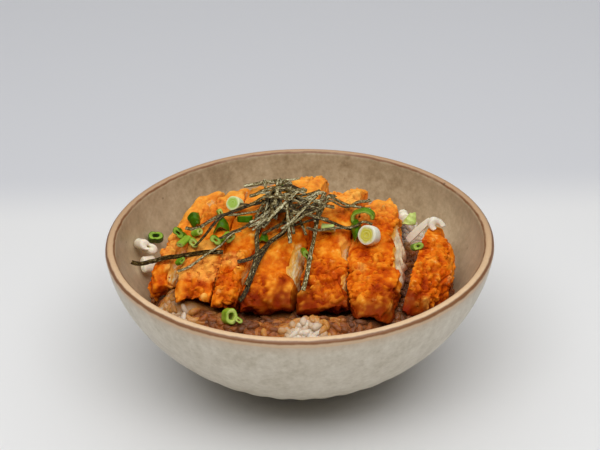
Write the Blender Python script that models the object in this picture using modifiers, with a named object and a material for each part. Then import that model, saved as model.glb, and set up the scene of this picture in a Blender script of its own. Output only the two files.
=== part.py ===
"""Fried chicken rice bowl.

A stoneware bowl holds rice, seven slices of crumbed fried chicken, chopped
spring onion and a tangle of shredded nori. Units are metres, +Z is up, and the
origin is the middle of the foot ring's underside. Heights that are named
"above the rim" are negative inside the bowl.
"""

import math
import random
from collections import namedtuple

import bmesh
import bpy
from mathutils import Matrix, Vector, noise
from mathutils.bvhtree import BVHTree

# Driving dimensions of the bowl
RIM_RADIUS = 0.088
RIM_HEIGHT = 0.070
WALL = 0.0048
LIP_RADIUS = WALL / 2
BODY_DEPTH = 0.0722
BODY_DEPTH_POWER = 1.75
BODY_RADIUS_POWER = 1.87
INNER_DEPTH = 0.0625
INNER_POWER = 1.9
FOOT_RADIUS = 0.0315
FOOT_WIDTH = 0.0045
FOOT_RECESS = 0.0028
FLUTE_COUNT = 36
FLUTE_DEPTH = 0.0004
FLUTE_BOTTOM = 0.006
FLUTE_TOP = 0.034
FLUTE_FADE = 0.6
LIP_STEPS = 4
FOOT_FLARE = 0.0015
FOOT_HEIGHT = 0.0045
BOWL_SEGMENTS = 2 * FLUTE_COUNT
SEAM_MERGE = 0.00005
INSIDE_RADII = (0.0, 0.022, 0.040, 0.054, 0.065, 0.073, 0.0793)
OUTSIDE_HEIGHTS = (0.056, 0.040, 0.028, 0.018, 0.0105)

# Clearance between neighbouring pieces
GAP = 0.0003
BED_GAP = 0.0006

# Rice bed, heights above the rim
RICE_TOP = -0.011
RICE_TOP_Y = 0.018
RICE_FALL_X = 4.5
RICE_FALL_Y = 3.0
RICE_TILT = 0.03
RIDGE_HEIGHT = 0.014
RIDGE_RADIUS = 0.060
RIDGE_WIDTH = 0.009
RIDGE_ARC_DEG = 60
# x, y, height and spread of the clumps that stand up from the bed
RICE_CLUMPS = (
    (0.051, 0.033, 0.0085, 0.0065),
    (0.005, -0.053, 0.0035, 0.0055),
    (-0.058, -0.031, 0.0100, 0.0110),
)
RICE_SEGMENTS = 36
RICE_RINGS = 12
EDGE_HALVINGS = 30
GRAIN_LENGTH = 0.0064
GRAIN_WIDTH = 0.0030
GRAIN_SPACING_FRONT = 0.0046
GRAIN_SPACING_BACK = 0.0095
GRAIN_RISE = 0.0005
GRAIN_TRIES = 6000
GRAIN_LIMIT = 71
GRAIN_PITCH = 0.35
GRAIN_SEED = 11

# Chicken: seams are given at the middle and this far before and behind it
SEAM_REACH = 0.035
SEAM_GAP = 0.0008
SLICE_COLUMNS = 4
SLICE_ROWS = 12
SLICE_LAYERS = 4
SLICE_ROUNDNESS = 2.3
UNDERSIDE_SHARE = 0.5
SLICE_TILT = 0.0013
SLICE_SEED_STEP = 3.7
BED_REACH = 0.0030
CRAG_HEIGHT = 0.0019
CRAG_SIZE = 0.0075
SLICE_HALF_WIDTH = 0.010
SLICE_HALF_HEIGHT = 0.008
ALMOST_ONE = 0.99

# Spring onion
ONION_SIDES = 8
ONION_WALL = 0.0009
LEAF_THICKNESS = 0.0007
SLIVER_THICKNESS = 0.0012
DROP_HEIGHT = 0.120
EDGE_SHARES = (0.2, 0.4, 0.6, 0.8)

# Nori
NORI_WIDTH = 0.0021
NORI_THICKNESS = 0.00055
NORI_STEP = 0.0065
LIFT_SAMPLING = 0.0004
LIFT_EDGES = (-1.0, -0.6, -0.2, 0.2, 0.6, 1.0)
NORI_CORE_CENTRE = (-0.0050, 0.0010)
NORI_CORE_RADII = (0.0085, 0.0065)
NORI_CORE_HEIGHT = 0.0026
NORI_CORE_REACH = 0.0035

COLLECTION_NAME = "fried_chicken_rice_bowl"

# name, seam positions at the three lines on each side, front and back ends,
# top height above the rim at front, middle and back, how far the right-hand
# cut face leans to the left at its top, and which side is crust, if any
Slice = namedtuple("Slice", "name left right front back tops lean crust_side")

SEAMS = (
    (-0.0790, -0.0645, -0.0500),
    (-0.0610, -0.0492, -0.0358),
    (-0.0560, -0.0482, -0.0350),
    (-0.0386, -0.0310, -0.0226),
    (-0.0260, -0.0163, -0.0066),
    (-0.0012, 0.0060, 0.0147),
    (0.0213, 0.0240, 0.0340),
    (0.0435, 0.0475, 0.0490),
)

SLICES = (
    Slice("chicken_slice_1", SEAMS[0], SEAMS[1], -0.0200, 0.043, (-0.010, -0.001, 0.006), 0.003, -1),
    Slice("chicken_slice_2", SEAMS[2], SEAMS[3], -0.0355, 0.040, (-0.008, 0.003, 0.009), 0.003, 0),
    Slice("chicken_slice_3", SEAMS[3], SEAMS[4], -0.0390, 0.041, (-0.008, 0.005, 0.010), 0.003, 0),
    Slice("chicken_slice_4", SEAMS[4], SEAMS[5], -0.0415, 0.043, (-0.007, 0.006, 0.014), 0.005, 0),
    Slice("chicken_slice_5", SEAMS[5], SEAMS[6], -0.0440, 0.037, (-0.008, 0.001, 0.0095), 0.004, 0),
    Slice("chicken_slice_6", SEAMS[6], SEAMS[7], -0.0525, 0.034, (-0.009, -0.001, 0.004), 0.006, 0),
)

# The end slice lies apart: its cut face runs from one point to the other, and
# its crust bulges to the right of that line
END_SLICE_FRONT = Vector((0.0440, -0.0415))
END_SLICE_BACK = Vector((0.0625, 0.0130))
END_SLICE_WIDTH = 0.0150
END_SLICE_BULGE = (0.30, 1.0, 0.55)
END_SLICE_TOPS = (-0.0140, -0.0055, -0.0035)
END_SLICE_OUTER_FALL = 0.0060
END_SLICE_THICKNESS = 0.0150
END_SLICE_SEED = 31.0


def clear_scene():
    for item in list(bpy.data.objects):
        bpy.data.objects.remove(item, do_unlink=True)


def new_collection(name):
    collection = bpy.data.collections.new(name)
    bpy.context.scene.collection.children.link(collection)
    return collection


def plain_material(name, colour, roughness):
    material = bpy.data.materials.new(name)
    material.use_nodes = True
    shader = material.node_tree.nodes["Principled BSDF"]
    shader.inputs["Base Color"].default_value = (*colour, 1.0)
    shader.inputs["Roughness"].default_value = roughness
    shader.inputs["Metallic"].default_value = 0.0
    material.diffuse_color = (*colour, 1.0)
    return material


def object_from_bmesh(name, shape, material, collection):
    mesh = bpy.data.meshes.new(name)
    shape.to_mesh(mesh)
    shape.free()
    mesh.materials.append(material)
    item = bpy.data.objects.new(name, mesh)
    collection.objects.link(item)
    return item


def bake_modifiers(item):
    """Give the object its evaluated mesh and drop its modifiers."""
    depsgraph = bpy.context.evaluated_depsgraph_get()
    mesh = bpy.data.meshes.new_from_object(item.evaluated_get(depsgraph))
    mesh.name = item.name
    item.modifiers.clear()
    item.data = mesh


def shade_round(item, angle_deg=40):
    item.data.shade_smooth()
    item.data.set_sharp_from_angle(angle=math.radians(angle_deg))


def bend(values, position):
    """The parabola through three values at positions -1, 0 and 1."""
    first, middle, last = values
    slope = (last - first) / 2
    curve = (last + first) / 2 - middle
    return middle + slope * position + curve * position * position


# Bowl


def outer_radius(height):
    share = ((RIM_HEIGHT - height) / BODY_DEPTH) ** BODY_DEPTH_POWER
    return RIM_RADIUS * (1 - share) ** (1 / BODY_RADIUS_POWER)


def inner_radius(height):
    share = ((RIM_HEIGHT - height) / INNER_DEPTH) ** INNER_POWER
    return (RIM_RADIUS - WALL) * (1 - share) ** (1 / INNER_POWER)


def inner_height(radius):
    """Height of the smooth inside wall at a radius."""
    share = min(1.0, radius / (RIM_RADIUS - WALL)) ** INNER_POWER
    return RIM_HEIGHT - INNER_DEPTH * (1 - share) ** (1 / INNER_POWER)


def bed_height(radius):
    """Height of the underside of the bed, one gap above the faceted wall."""
    for near, far in zip(INSIDE_RADII, INSIDE_RADII[1:]):
        if radius <= far:
            share = (radius - near) / (far - near)
            return inner_height(near) + share * (inner_height(far) - inner_height(near)) + BED_GAP
    return inner_height(radius) + BED_GAP


def bowl_profile():
    """Half section: up the inside, over the lip, down the outside, foot."""
    profile = [(radius, inner_height(radius)) for radius in INSIDE_RADII]
    lip_middle = (RIM_RADIUS - LIP_RADIUS, RIM_HEIGHT - LIP_RADIUS)
    for step in range(LIP_STEPS + 1):
        angle = math.pi * (1 - step / LIP_STEPS)
        profile.append((
            lip_middle[0] + LIP_RADIUS * math.cos(angle),
            lip_middle[1] + LIP_RADIUS * math.sin(angle),
        ))
    profile += [(outer_radius(height), height) for height in OUTSIDE_HEIGHTS]
    foot_inside = FOOT_RADIUS - FOOT_WIDTH
    profile += [
        (FOOT_RADIUS + FOOT_FLARE, FOOT_HEIGHT),
        (FOOT_RADIUS, 0.0),
        (foot_inside, 0.0),
        (foot_inside - FOOT_FLARE, FOOT_RECESS),
        (0.0, FOOT_RECESS),
    ]
    return profile


def flute_share(height):
    """How deep the flutes are at a height: full low down, none half way up."""
    rise = (height - FLUTE_BOTTOM) / (FLUTE_TOP - FLUTE_BOTTOM)
    if rise <= 0 or rise >= 1:
        return 0.0
    return math.sin(math.pi * rise ** FLUTE_FADE)


def build_bowl(material, collection):
    shape = bmesh.new()
    corners = [shape.verts.new((radius, 0.0, height)) for radius, height in bowl_profile()]
    for first, second in zip(corners, corners[1:]):
        shape.edges.new((first, second))
    bowl = object_from_bmesh("bowl", shape, material, collection)
    turn = bowl.modifiers.new("Turn", "SCREW")
    turn.axis = "Z"
    turn.angle = math.tau
    turn.steps = BOWL_SEGMENTS
    turn.render_steps = BOWL_SEGMENTS
    turn.use_merge_vertices = True
    turn.merge_threshold = SEAM_MERGE
    bake_modifiers(bowl)
    for vertex in bowl.data.vertices:
        radius = math.hypot(vertex.co.x, vertex.co.y)
        in_band = FLUTE_TOP > vertex.co.z > OUTSIDE_HEIGHTS[-1] - SEAM_MERGE
        on_outside = in_band and radius > outer_radius(vertex.co.z) - WALL / 2
        step = round(math.atan2(vertex.co.y, vertex.co.x) / math.tau * BOWL_SEGMENTS)
        if on_outside and step % 2:
            scale = 1 - FLUTE_DEPTH * flute_share(vertex.co.z) / radius
            vertex.co.x *= scale
            vertex.co.y *= scale
    shade_round(bowl)
    return bowl


# Rice


def bell(offset, spread):
    return math.exp(-offset * offset / (2 * spread * spread))


def rice_height(x, y):
    """Height of the rice bed, a mound with a curved ridge along the front."""
    mound = RICE_TOP - RICE_FALL_X * x * x - RICE_FALL_Y * (y - RICE_TOP_Y) ** 2 + RICE_TILT * x
    from_front = math.degrees(math.atan2(x, -y))
    across = bell(math.hypot(x, y) - RIDGE_RADIUS, RIDGE_WIDTH)
    ridge = RIDGE_HEIGHT * across * bell(from_front, RIDGE_ARC_DEG)
    clumps = sum(
        height * bell(math.hypot(x - clump_x, y - clump_y), spread)
        for clump_x, clump_y, height, spread in RICE_CLUMPS
    )
    return RIM_HEIGHT + mound + ridge + clumps


def rice_edge_radius(angle):
    """Radius at which the bed meets the wall, found by halving."""
    low, high = INSIDE_RADII[2], INSIDE_RADII[-1]
    for _ in range(EDGE_HALVINGS):
        middle = (low + high) / 2
        bed = rice_height(middle * math.cos(angle), middle * math.sin(angle))
        if bed > bed_height(middle):
            low = middle
        else:
            high = middle
    return low


def build_rice_core(material, collection):
    shape = bmesh.new()
    bmesh.ops.create_uvsphere(shape, u_segments=RICE_SEGMENTS, v_segments=RICE_RINGS, radius=1.0)
    for vertex in shape.verts:
        angle = math.atan2(vertex.co.y, vertex.co.x)
        share = math.asin(min(1.0, math.hypot(vertex.co.x, vertex.co.y))) / (math.pi / 2)
        radius = (rice_edge_radius(angle) - BED_GAP) * share
        is_top = vertex.co.z > -0.0001
        vertex.co.x = radius * math.cos(angle)
        vertex.co.y = radius * math.sin(angle)
        if is_top:
            vertex.co.z = rice_height(vertex.co.x, vertex.co.y)
        else:
            vertex.co.z = bed_height(radius)
    return object_from_bmesh("rice", shape, material, collection)


def grain_shape(middle, heading, pitch):
    shape = bmesh.new()
    bmesh.ops.create_uvsphere(shape, u_segments=5, v_segments=4, radius=0.5)
    size = Matrix.Diagonal((GRAIN_WIDTH, GRAIN_WIDTH, GRAIN_LENGTH, 1.0))
    lay = Matrix.Rotation(math.radians(90) - pitch, 4, "Y")
    spin = Matrix.Rotation(heading, 4, "Z")
    shape.transform(Matrix.Translation(middle) @ spin @ lay @ size)
    return shape


def grain_places(obstacles):
    """Seeded places on the open rice, clear of the wall and of the slices."""
    draw = random.Random(GRAIN_SEED)
    tree = world_tree(obstacles)
    reach = GRAIN_LENGTH / 2 + GAP
    places = []
    for _ in range(GRAIN_TRIES):
        radius = RIM_RADIUS * math.sqrt(draw.random())
        angle = draw.uniform(0, math.tau)
        place = Vector((radius * math.cos(angle), radius * math.sin(angle), 0.0))
        place.z = rice_height(place.x, place.y) + GRAIN_RISE
        if radius > inner_radius(place.z - GRAIN_WIDTH) - reach:
            continue
        if tree.find_nearest(place)[3] < reach:
            continue
        if tree.ray_cast(place, Vector((0, 0, 1)))[0] is not None:
            continue
        spacing = GRAIN_SPACING_FRONT if place.y < 0 or abs(place.x) > place.y else GRAIN_SPACING_BACK
        if any((place - other).length < spacing for other in places):
            continue
        places.append(place)
    return places[:GRAIN_LIMIT]


def add_grains(rice, material, obstacles):
    draw = random.Random(GRAIN_SEED + 1)
    pieces = []
    for place in grain_places(obstacles):
        heading = draw.uniform(0, math.pi)
        pitch = draw.uniform(-GRAIN_PITCH, GRAIN_PITCH)
        pieces.append(grain_shape(place, heading, pitch))
    join_pieces(rice, pieces, material)


def join_pieces(core, shapes, material):
    """Fuse loose shapes to the core and keep the one body that results."""
    cutters = new_collection(core.name + "_pieces")
    for index, shape in enumerate(shapes):
        piece = object_from_bmesh(f"{core.name}_piece_{index}", shape, material, cutters)
        piece.hide_render = True
        piece.display_type = "WIRE"
    union = core.modifiers.new("Pieces", "BOOLEAN")
    union.operation = "UNION"
    union.operand_type = "COLLECTION"
    union.collection = cutters
    union.solver = "MANIFOLD"
    bake_modifiers(core)
    for piece in list(cutters.objects):
        bpy.data.objects.remove(piece, do_unlink=True)
    bpy.data.collections.remove(cutters)
    keep_largest_body(core)


def keep_largest_body(item):
    """Drop the loose scraps and sealed hollows that a union leaves."""
    shape = bmesh.new()
    shape.from_mesh(item.data)
    unseen = set(shape.verts)
    bodies = []
    while unseen:
        front = [unseen.pop()]
        body = set(front)
        while front:
            vertex = front.pop()
            for edge in vertex.link_edges:
                other = edge.other_vert(vertex)
                if other in unseen:
                    unseen.remove(other)
                    body.add(other)
                    front.append(other)
        bodies.append(body)
    bodies.sort(key=len)
    for body in bodies[:-1]:
        bmesh.ops.delete(shape, geom=list(body), context="VERTS")
    bmesh.ops.triangulate(shape, faces=shape.faces)
    shape.to_mesh(item.data)
    shape.free()


# Chicken


def unit_block(columns, rows, layers):
    """A cube from -1 to 1 whose sides are split into a grid, finer at the ends."""
    shape = bmesh.new()
    bmesh.ops.create_cube(shape, size=2.0)
    for axis, count in enumerate((columns, rows, layers)):
        along = [
            edge for edge in shape.edges
            if abs((edge.verts[0].co - edge.verts[1].co).normalized()[axis]) > ALMOST_ONE
        ]
        bmesh.ops.subdivide_edges(shape, edges=along, cuts=count - 1, use_grid_fill=True)
    for vertex in shape.verts:
        vertex.co.y = math.sin(vertex.co.y * math.pi / 2)
        vertex.co.z = math.sin(vertex.co.z * math.pi / 2)
    return shape


def rounded(place, crust_side):
    """Round the block's ends, and its crust side too where it has one."""
    across, along, up = place
    wide = across if across * crust_side > 0 else 0.0
    tall = up if up > 0 else up * UNDERSIDE_SHARE
    reach = max(abs(wide), abs(along), abs(tall))
    if reach == 0:
        return across, along, up
    power = SLICE_ROUNDNESS
    scale = sum(abs(value / reach) ** power for value in (wide, along, tall)) ** (-1 / power)
    if wide:
        across *= scale
    if up > 0:
        up *= scale
    return across, along * scale, up


def crag(place, half_size, seed):
    """Uneven height of the crumb crust at a place in the unit block."""
    spot = Vector(value * half for value, half in zip(place, half_size))
    return CRAG_HEIGHT * noise.noise(spot / CRAG_SIZE + Vector((seed, 0, 0)))


def slice_point(part, place, seed, bed):
    """Place of one point of a slice, from its place in the unit block."""
    across, along, up = rounded(place, part.crust_side)
    middle = (part.front + part.back) / 2
    half_length = (part.back - part.front) / 2
    is_crust = abs(place[1]) > ALMOST_ONE or place[2] > ALMOST_ONE
    half_size = (SLICE_HALF_WIDTH, half_length, SLICE_HALF_HEIGHT)
    swell = crag((across, along, up), half_size, seed) if is_crust else 0.0
    y = middle + along * (half_length + swell)
    position = y / SEAM_REACH
    left = bend(part.left, position) + SEAM_GAP / 2
    right = bend(part.right, position) - SEAM_GAP / 2
    share_up = (up + 1) / 2
    share_across = (across + 1) / 2
    x = left + (right - left) * share_across - part.lean * share_across * share_up
    top = RIM_HEIGHT + bend(part.tops, along) + SLICE_TILT * across
    bottom = highest_near(bed, x, y, BED_REACH) + GAP
    z = bottom + (top - bottom) * share_up + swell * share_up
    return Vector((x, y, z))


def build_slice(part, index, bed, material, collection):
    shape = unit_block(SLICE_COLUMNS, SLICE_ROWS, SLICE_LAYERS)
    for vertex in shape.verts:
        vertex.co = slice_point(part, tuple(vertex.co), SLICE_SEED_STEP * index, bed)
    bmesh.ops.triangulate(shape, faces=shape.faces)
    item = object_from_bmesh(part.name, shape, material, collection)
    shade_round(item)
    return item


def end_slice_point(place, bed):
    across, along, up = rounded(place, 1)
    share_along = (along + 1) / 2
    share_across = (across + 1) / 2
    share_up = (up + 1) / 2
    chord = END_SLICE_FRONT.lerp(END_SLICE_BACK, share_along)
    line = (END_SLICE_BACK - END_SLICE_FRONT).normalized()
    outward = Vector((line.y, -line.x))
    bulge = END_SLICE_WIDTH * bend(END_SLICE_BULGE, along)
    half_size = (END_SLICE_WIDTH / 2, (END_SLICE_BACK - END_SLICE_FRONT).length / 2, END_SLICE_THICKNESS / 2)
    is_crust = max(abs(place[1]), abs(place[2]), place[0]) > ALMOST_ONE
    swell = crag((across, along, up), half_size, END_SLICE_SEED) if is_crust else 0.0
    spot = chord + outward * (bulge * share_across + swell * share_across)
    top = RIM_HEIGHT + bend(END_SLICE_TOPS, along) - END_SLICE_OUTER_FALL * share_across ** 2
    bottom = max(top - END_SLICE_THICKNESS, highest_near(bed, spot.x, spot.y, BED_REACH) + GAP)
    height = bottom + (top - bottom) * share_up + swell * share_up
    return Vector((spot.x, spot.y, height))


def build_end_slice(bed, material, collection):
    shape = unit_block(SLICE_COLUMNS, SLICE_ROWS, SLICE_LAYERS)
    for vertex in shape.verts:
        vertex.co = end_slice_point(tuple(vertex.co), bed)
    bmesh.ops.triangulate(shape, faces=shape.faces)
    item = object_from_bmesh("chicken_slice_7", shape, material, collection)
    shade_round(item)
    return item


# Resting one piece on others


def world_corners(item):
    return [item.matrix_world @ vertex.co for vertex in item.data.vertices]


def world_samples(item):
    """The corners, and points along the edges, in world space."""
    corners = world_corners(item)
    samples = list(corners)
    for edge in item.data.edges:
        start, stop = (corners[index] for index in edge.vertices)
        samples += [start.lerp(stop, share) for share in EDGE_SHARES]
    return samples


def world_tree(items):
    corners = []
    faces = []
    for item in items:
        start = len(corners)
        corners += world_corners(item)
        faces += [[start + corner for corner in face.vertices] for face in item.data.polygons]
    return BVHTree.FromPolygons(corners, faces)


def height_under(tree, x, y):
    """Top of what lies at a place, or the floor where nothing does."""
    hit = tree.ray_cast(Vector((x, y, DROP_HEIGHT)), Vector((0, 0, -1)))[0]
    return hit.z if hit is not None else 0.0


def highest_near(tree, x, y, reach):
    """Top of what lies within reach of a place."""
    spots = [(x, y)]
    for step in range(8):
        angle = step * math.tau / 8
        spots.append((x + reach * math.cos(angle), y + reach * math.sin(angle)))
    return max(height_under(tree, *spot) for spot in spots)


def rest_on(piece, carriers):
    """Lower a piece until it is one gap above what lies under it."""
    bpy.context.view_layer.update()
    below = world_tree(carriers)
    above = world_tree([piece])
    down = Vector((0, 0, -1))
    drops = []
    for sample in world_samples(piece):
        hit = below.ray_cast(sample, down)[0]
        if hit is not None:
            drops.append(sample.z - hit.z)
    reach = max(piece.dimensions)
    for carrier in carriers:
        for sample in world_samples(carrier):
            if (sample.xy - piece.location.xy).length < reach:
                hit = above.ray_cast(sample, -down)[0]
                if hit is not None:
                    drops.append(hit.z - sample.z)
    piece.location.z -= min(drops) - GAP
    bpy.context.view_layer.update()


# Spring onion

# kind: tube (hollow, cut across), curl (an open arc of a tube), round (solid,
# from the white end), leaf (a flat piece of the green top). The axis leans by
# lean_deg from upright towards the direction turn_deg, which is measured from
# the front of the bowl towards its right-hand side
Onion = namedtuple("Onion", "name kind x y size length lean_deg turn_deg")

ONIONS = (
    Onion("onion_white_wall_lower", "tube", -0.0712, 0.0107, 0.0058, 0.0060, 80, -60),
    Onion("onion_white_wall", "tube", -0.0723, 0.0165, 0.0066, 0.0085, 70, 35),
    Onion("onion_green_wall", "tube", -0.0687, 0.0288, 0.0056, 0.0055, 40, 10),
    Onion("onion_leaf_back", "leaf", -0.0487, 0.0114, 0.0050, 0.0062, 35, 20),
    Onion("onion_ring_left", "tube", -0.0544, 0.0012, 0.0046, 0.0040, 55, -30),
    Onion("onion_long_green", "tube", -0.0518, -0.0088, 0.0032, 0.0076, 90, -27),
    Onion("onion_ring_front", "tube", -0.0475, -0.0103, 0.0040, 0.0034, 72, 5),
    Onion("onion_ring_behind", "tube", -0.0462, -0.0040, 0.0040, 0.0040, 60, 60),
    Onion("onion_pale_round", "tube", -0.0292, 0.0108, 0.0074, 0.0048, 30, -10),
    Onion("onion_leaf_dark", "leaf", -0.0352, -0.0000, 0.0062, 0.0062, 20, 0),
    Onion("onion_curl_dark", "curl", -0.0244, -0.0006, 0.0066, 0.0028, 25, 180),
    Onion("onion_bit_back", "tube", -0.0361, 0.0069, 0.0032, 0.0030, 60, 20),
    Onion("onion_ring_middle", "tube", -0.0370, -0.0112, 0.0044, 0.0036, 60, -15),
    Onion("onion_tube_middle", "tube", -0.0317, -0.0105, 0.0042, 0.0052, 75, 30),
    Onion("onion_bit_seam", "tube", -0.0532, -0.0180, 0.0030, 0.0034, 60, 60),
    Onion("onion_green_top", "tube", -0.0051, 0.0158, 0.0045, 0.0045, 70, 40),
    Onion("onion_leaf_tangle", "leaf", -0.0161, -0.0107, 0.0040, 0.0046, 25, 0),
    Onion("onion_tube_upright", "tube", 0.0029, -0.0183, 0.0040, 0.0056, 75, 10),
    Onion("onion_tube_pale", "tube", 0.0129, -0.0035, 0.0042, 0.0062, 90, 80),
    Onion("onion_leaf_seam", "leaf", 0.0256, -0.0019, 0.0036, 0.0120, 0, 0),
    Onion("onion_curl_bright", "curl", 0.0291, 0.0054, 0.0092, 0.0036, 30, 0),
    Onion("onion_white_round", "round", 0.0310, -0.0104, 0.0098, 0.0050, 52, -18),
    Onion("onion_white_clump", "tube", 0.0487, 0.0234, 0.0052, 0.0040, 50, 10),
    Onion("onion_yellow_clump", "tube", 0.0513, 0.0179, 0.0056, 0.0050, 60, 40),
    Onion("onion_green_gap", "tube", 0.0530, -0.0068, 0.0042, 0.0040, 55, 20),
    Onion("onion_white_tip", "curl", 0.0640, 0.0085, 0.0070, 0.0040, 88, 12),
    Onion("onion_tube_rice", "tube", -0.0308, -0.0469, 0.0060, 0.0064, 62, 28),
    Onion("onion_bit_rice", "tube", -0.0266, -0.0509, 0.0028, 0.0028, 60, 0),
)
CURL_ARC_DEG = 210

# The long white sliver leans from the rice onto the end slice
SLIVER_LOW_END = Vector((0.0503, 0.0120, -0.0120))
SLIVER_HIGH_END = Vector((0.0602, 0.0100, 0.0000))
SLIVER_WIDTH = 0.0028
SLIVER_FACING = Vector((0.0, -0.6, 0.8))


def tube_piece(part, arc_deg, material, collection):
    shape = bmesh.new()
    top = shape.verts.new((part.size / 2, 0.0, part.length / 2))
    bottom = shape.verts.new((part.size / 2, 0.0, -part.length / 2))
    shape.edges.new((top, bottom))
    piece = object_from_bmesh(part.name, shape, material, collection)
    turn = piece.modifiers.new("Turn", "SCREW")
    turn.axis = "Z"
    turn.angle = math.radians(arc_deg)
    turn.steps = max(4, round(ONION_SIDES * arc_deg / 360))
    turn.render_steps = turn.steps
    turn.use_merge_vertices = True
    turn.merge_threshold = SEAM_MERGE
    wall = piece.modifiers.new("Wall", "SOLIDIFY")
    wall.thickness = ONION_WALL
    wall.offset = -1.0
    bake_modifiers(piece)
    return piece


def round_piece(part, material, collection):
    shape = bmesh.new()
    radius = part.size / 2
    bmesh.ops.create_cone(
        shape, cap_ends=True, segments=ONION_SIDES + 2,
        radius1=radius, radius2=0.94 * radius, depth=part.length,
    )
    return object_from_bmesh(part.name, shape, material, collection)


def leaf_piece(part, material, collection):
    """A flat piece of the green top, arched across its width."""
    shape = bmesh.new()
    bmesh.ops.create_grid(shape, x_segments=3, y_segments=3, size=0.5)
    for vertex in shape.verts:
        across, along = vertex.co.x, vertex.co.y
        arch = part.size * 0.8 * (0.25 - across * across)
        vertex.co = (across * part.size, along * part.length, arch)
    piece = object_from_bmesh(part.name, shape, material, collection)
    thicken(piece, LEAF_THICKNESS)
    return piece


def thicken(piece, thickness):
    layer = piece.modifiers.new("Thickness", "SOLIDIFY")
    layer.thickness = thickness
    layer.offset = 0.0
    bake_modifiers(piece)


def build_onion(part, material, collection):
    if part.kind == "tube":
        piece = tube_piece(part, 360, material, collection)
    elif part.kind == "curl":
        piece = tube_piece(part, CURL_ARC_DEG, material, collection)
    elif part.kind == "round":
        piece = round_piece(part, material, collection)
    else:
        piece = leaf_piece(part, material, collection)
    piece.location = (part.x, part.y, DROP_HEIGHT)
    piece.rotation_euler = (math.radians(part.lean_deg), 0.0, math.radians(part.turn_deg))
    shade_round(piece)
    return piece


def build_sliver(material, collection):
    low = SLIVER_LOW_END + Vector((0, 0, RIM_HEIGHT))
    high = SLIVER_HIGH_END + Vector((0, 0, RIM_HEIGHT))
    along = (high - low).normalized()
    side = SLIVER_FACING.cross(along).normalized()
    axes = (along * (high - low).length, side * SLIVER_WIDTH, along.cross(side) * SLIVER_THICKNESS)
    frame = Matrix(axes).transposed().to_4x4()
    shape = bmesh.new()
    bmesh.ops.create_cube(shape, size=1.0)
    shape.transform(Matrix.Translation(low.lerp(high, 0.5)) @ frame)
    return object_from_bmesh("onion_white_sliver", shape, material, collection)


# Nori

# Each strip is a list of points (x, y, height above the rim), in millimetres
NORI_PATHS_MM = (
    ((-77.5, 1, -13), (-68, -8, -7), (-60.5, -11, -4.5), (-54, -14, -2.2), (-42.3, -15.1, -0.4),
     (-34, -17, 1), (-24.5, -8, 5), (-17, 0, 8.5), (-7, 9.5, 12.5)),
    ((-54, -24.5, -5.5), (-47.8, -21.4, -3.5), (-40.8, -16.7, -1), (-34, -15.5, 1), (-26, -10, 4)),
    ((-52, 4.5, -1.5), (-46, 0, 4), (-39, 2, 6), (-30.5, 2.5, 8), (-21.5, 4.5, 8.5), (-6, 7, 10)),
    ((-46.5, -15, 1), (-39.5, -4, 6), (-35, 0.5, 8), (-24, 8, 10), (-16, 11, 10), (-5, 6, 10)),
    ((-25.5, 26, 10), (-17, 26.5, 12), (-11.5, 26, 14), (-7.5, 25, 13), (-4, 16, 12.5), (-4, 6, 10)),
    ((0.5, 28, 12), (-3, 26, 14), (-6, 25.5, 12), (-8.5, 19.5, 11.5), (-8, 6, 10)),
    ((-16, 28.5, 12), (-14, 12, 12), (-10, 1, 9)),
    ((-8, 21.5, 12), (-9, 6, 11), (-11, -4, 8)),
    ((-16.5, -8.5, 5.5), (-7, 4, 10), (2.5, 7.5, 13), (9.5, 12.5, 14), (12, 11.5, 14)),
    ((12, 12, 14), (9.5, 4.5, 11.5), (7, -8, 5), (6, -13.5, 1.5), (3, -30, -4), (1, -39.5, -7.5)),
    ((-2, 4, 10), (1.5, -6, 7.5), (3, -11, 2)),
    ((-3, -4, 8.5), (-8, -11.5, 6.5), (-13.5, -15.5, 4), (-18.5, -24.5, 0), (-23.5, -36.5, -7.5),
     (-26.5, -42, -12)),
    ((-11, -2, 8), (-18.5, -9.5, 5), (-19, -21, 1), (-23.5, -36.5, -7)),
    ((-27.5, -24.5, -2.5), (-20, -22.5, 0.5), (-12, -14.5, 5)),
    ((17, 15, 12), (14, 10, 6.5), (7, -6, 5.5)),
    ((0, 1, 9), (8.5, 3.5, 6.5), (21, 9.5, 6), (27, 18, 4.5), (31.5, 20.5, 4.5), (33.5, 22, 3)),
    ((-2, 3, 9.5), (11, 7.5, 7), (23, 9, 5.5), (33, 12.5, 2.5)),
    ((-8, -9, 6.5), (7, -4, 4), (23.5, -4, 1.5)),
    ((-6, -2, 9), (4.5, 5.5, 12), (8.5, 10, 9.5)),
    ((3, -7, 6), (9, -8, 3), (24, -4.5, 3.5), (29, 1, 4.5), (33, -1, 3.5)),
    ((-19.5, -1, 6.5), (-7, 0, 9.5), (6, 7, 9)),
    ((-16.5, -12.5, 4), (-8.5, -6, 8), (0.5, -2.5, 9.5), (8.5, 5, 7)),
    ((-23, -6.5, 4.5), (-14, -3.5, 8), (-4, 4, 10.5)),
    ((-12.5, -16, 3.5), (-4, -9, 7), (0.5, -3, 8)),
    ((-17, 8, 9.5), (-8, 8, 11), (0.5, 10.5, 15)),
)


def smooth_path(points, step):
    """Points at about an even step along a smooth curve through the given ones."""
    ends = [2 * points[0] - points[1], *points, 2 * points[-1] - points[-2]]
    path = []
    for before, start, stop, after in zip(ends, ends[1:], ends[2:], ends[3:]):
        count = max(1, round((stop - start).length / step))
        for index in range(count):
            share = index / count
            squared = share * share
            cubed = squared * share
            path.append(0.5 * (
                2 * start + (stop - before) * share
                + (2 * before - 5 * start + 4 * stop - after) * squared
                + (3 * start - before - 3 * stop + after) * cubed
            ))
    path.append(points[-1].copy())
    return path


def side_direction(points, index):
    ahead = points[min(index + 1, len(points) - 1)]
    behind = points[max(index - 1, 0)]
    return (ahead - behind).cross(Vector((0, 0, 1))).normalized()


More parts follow.
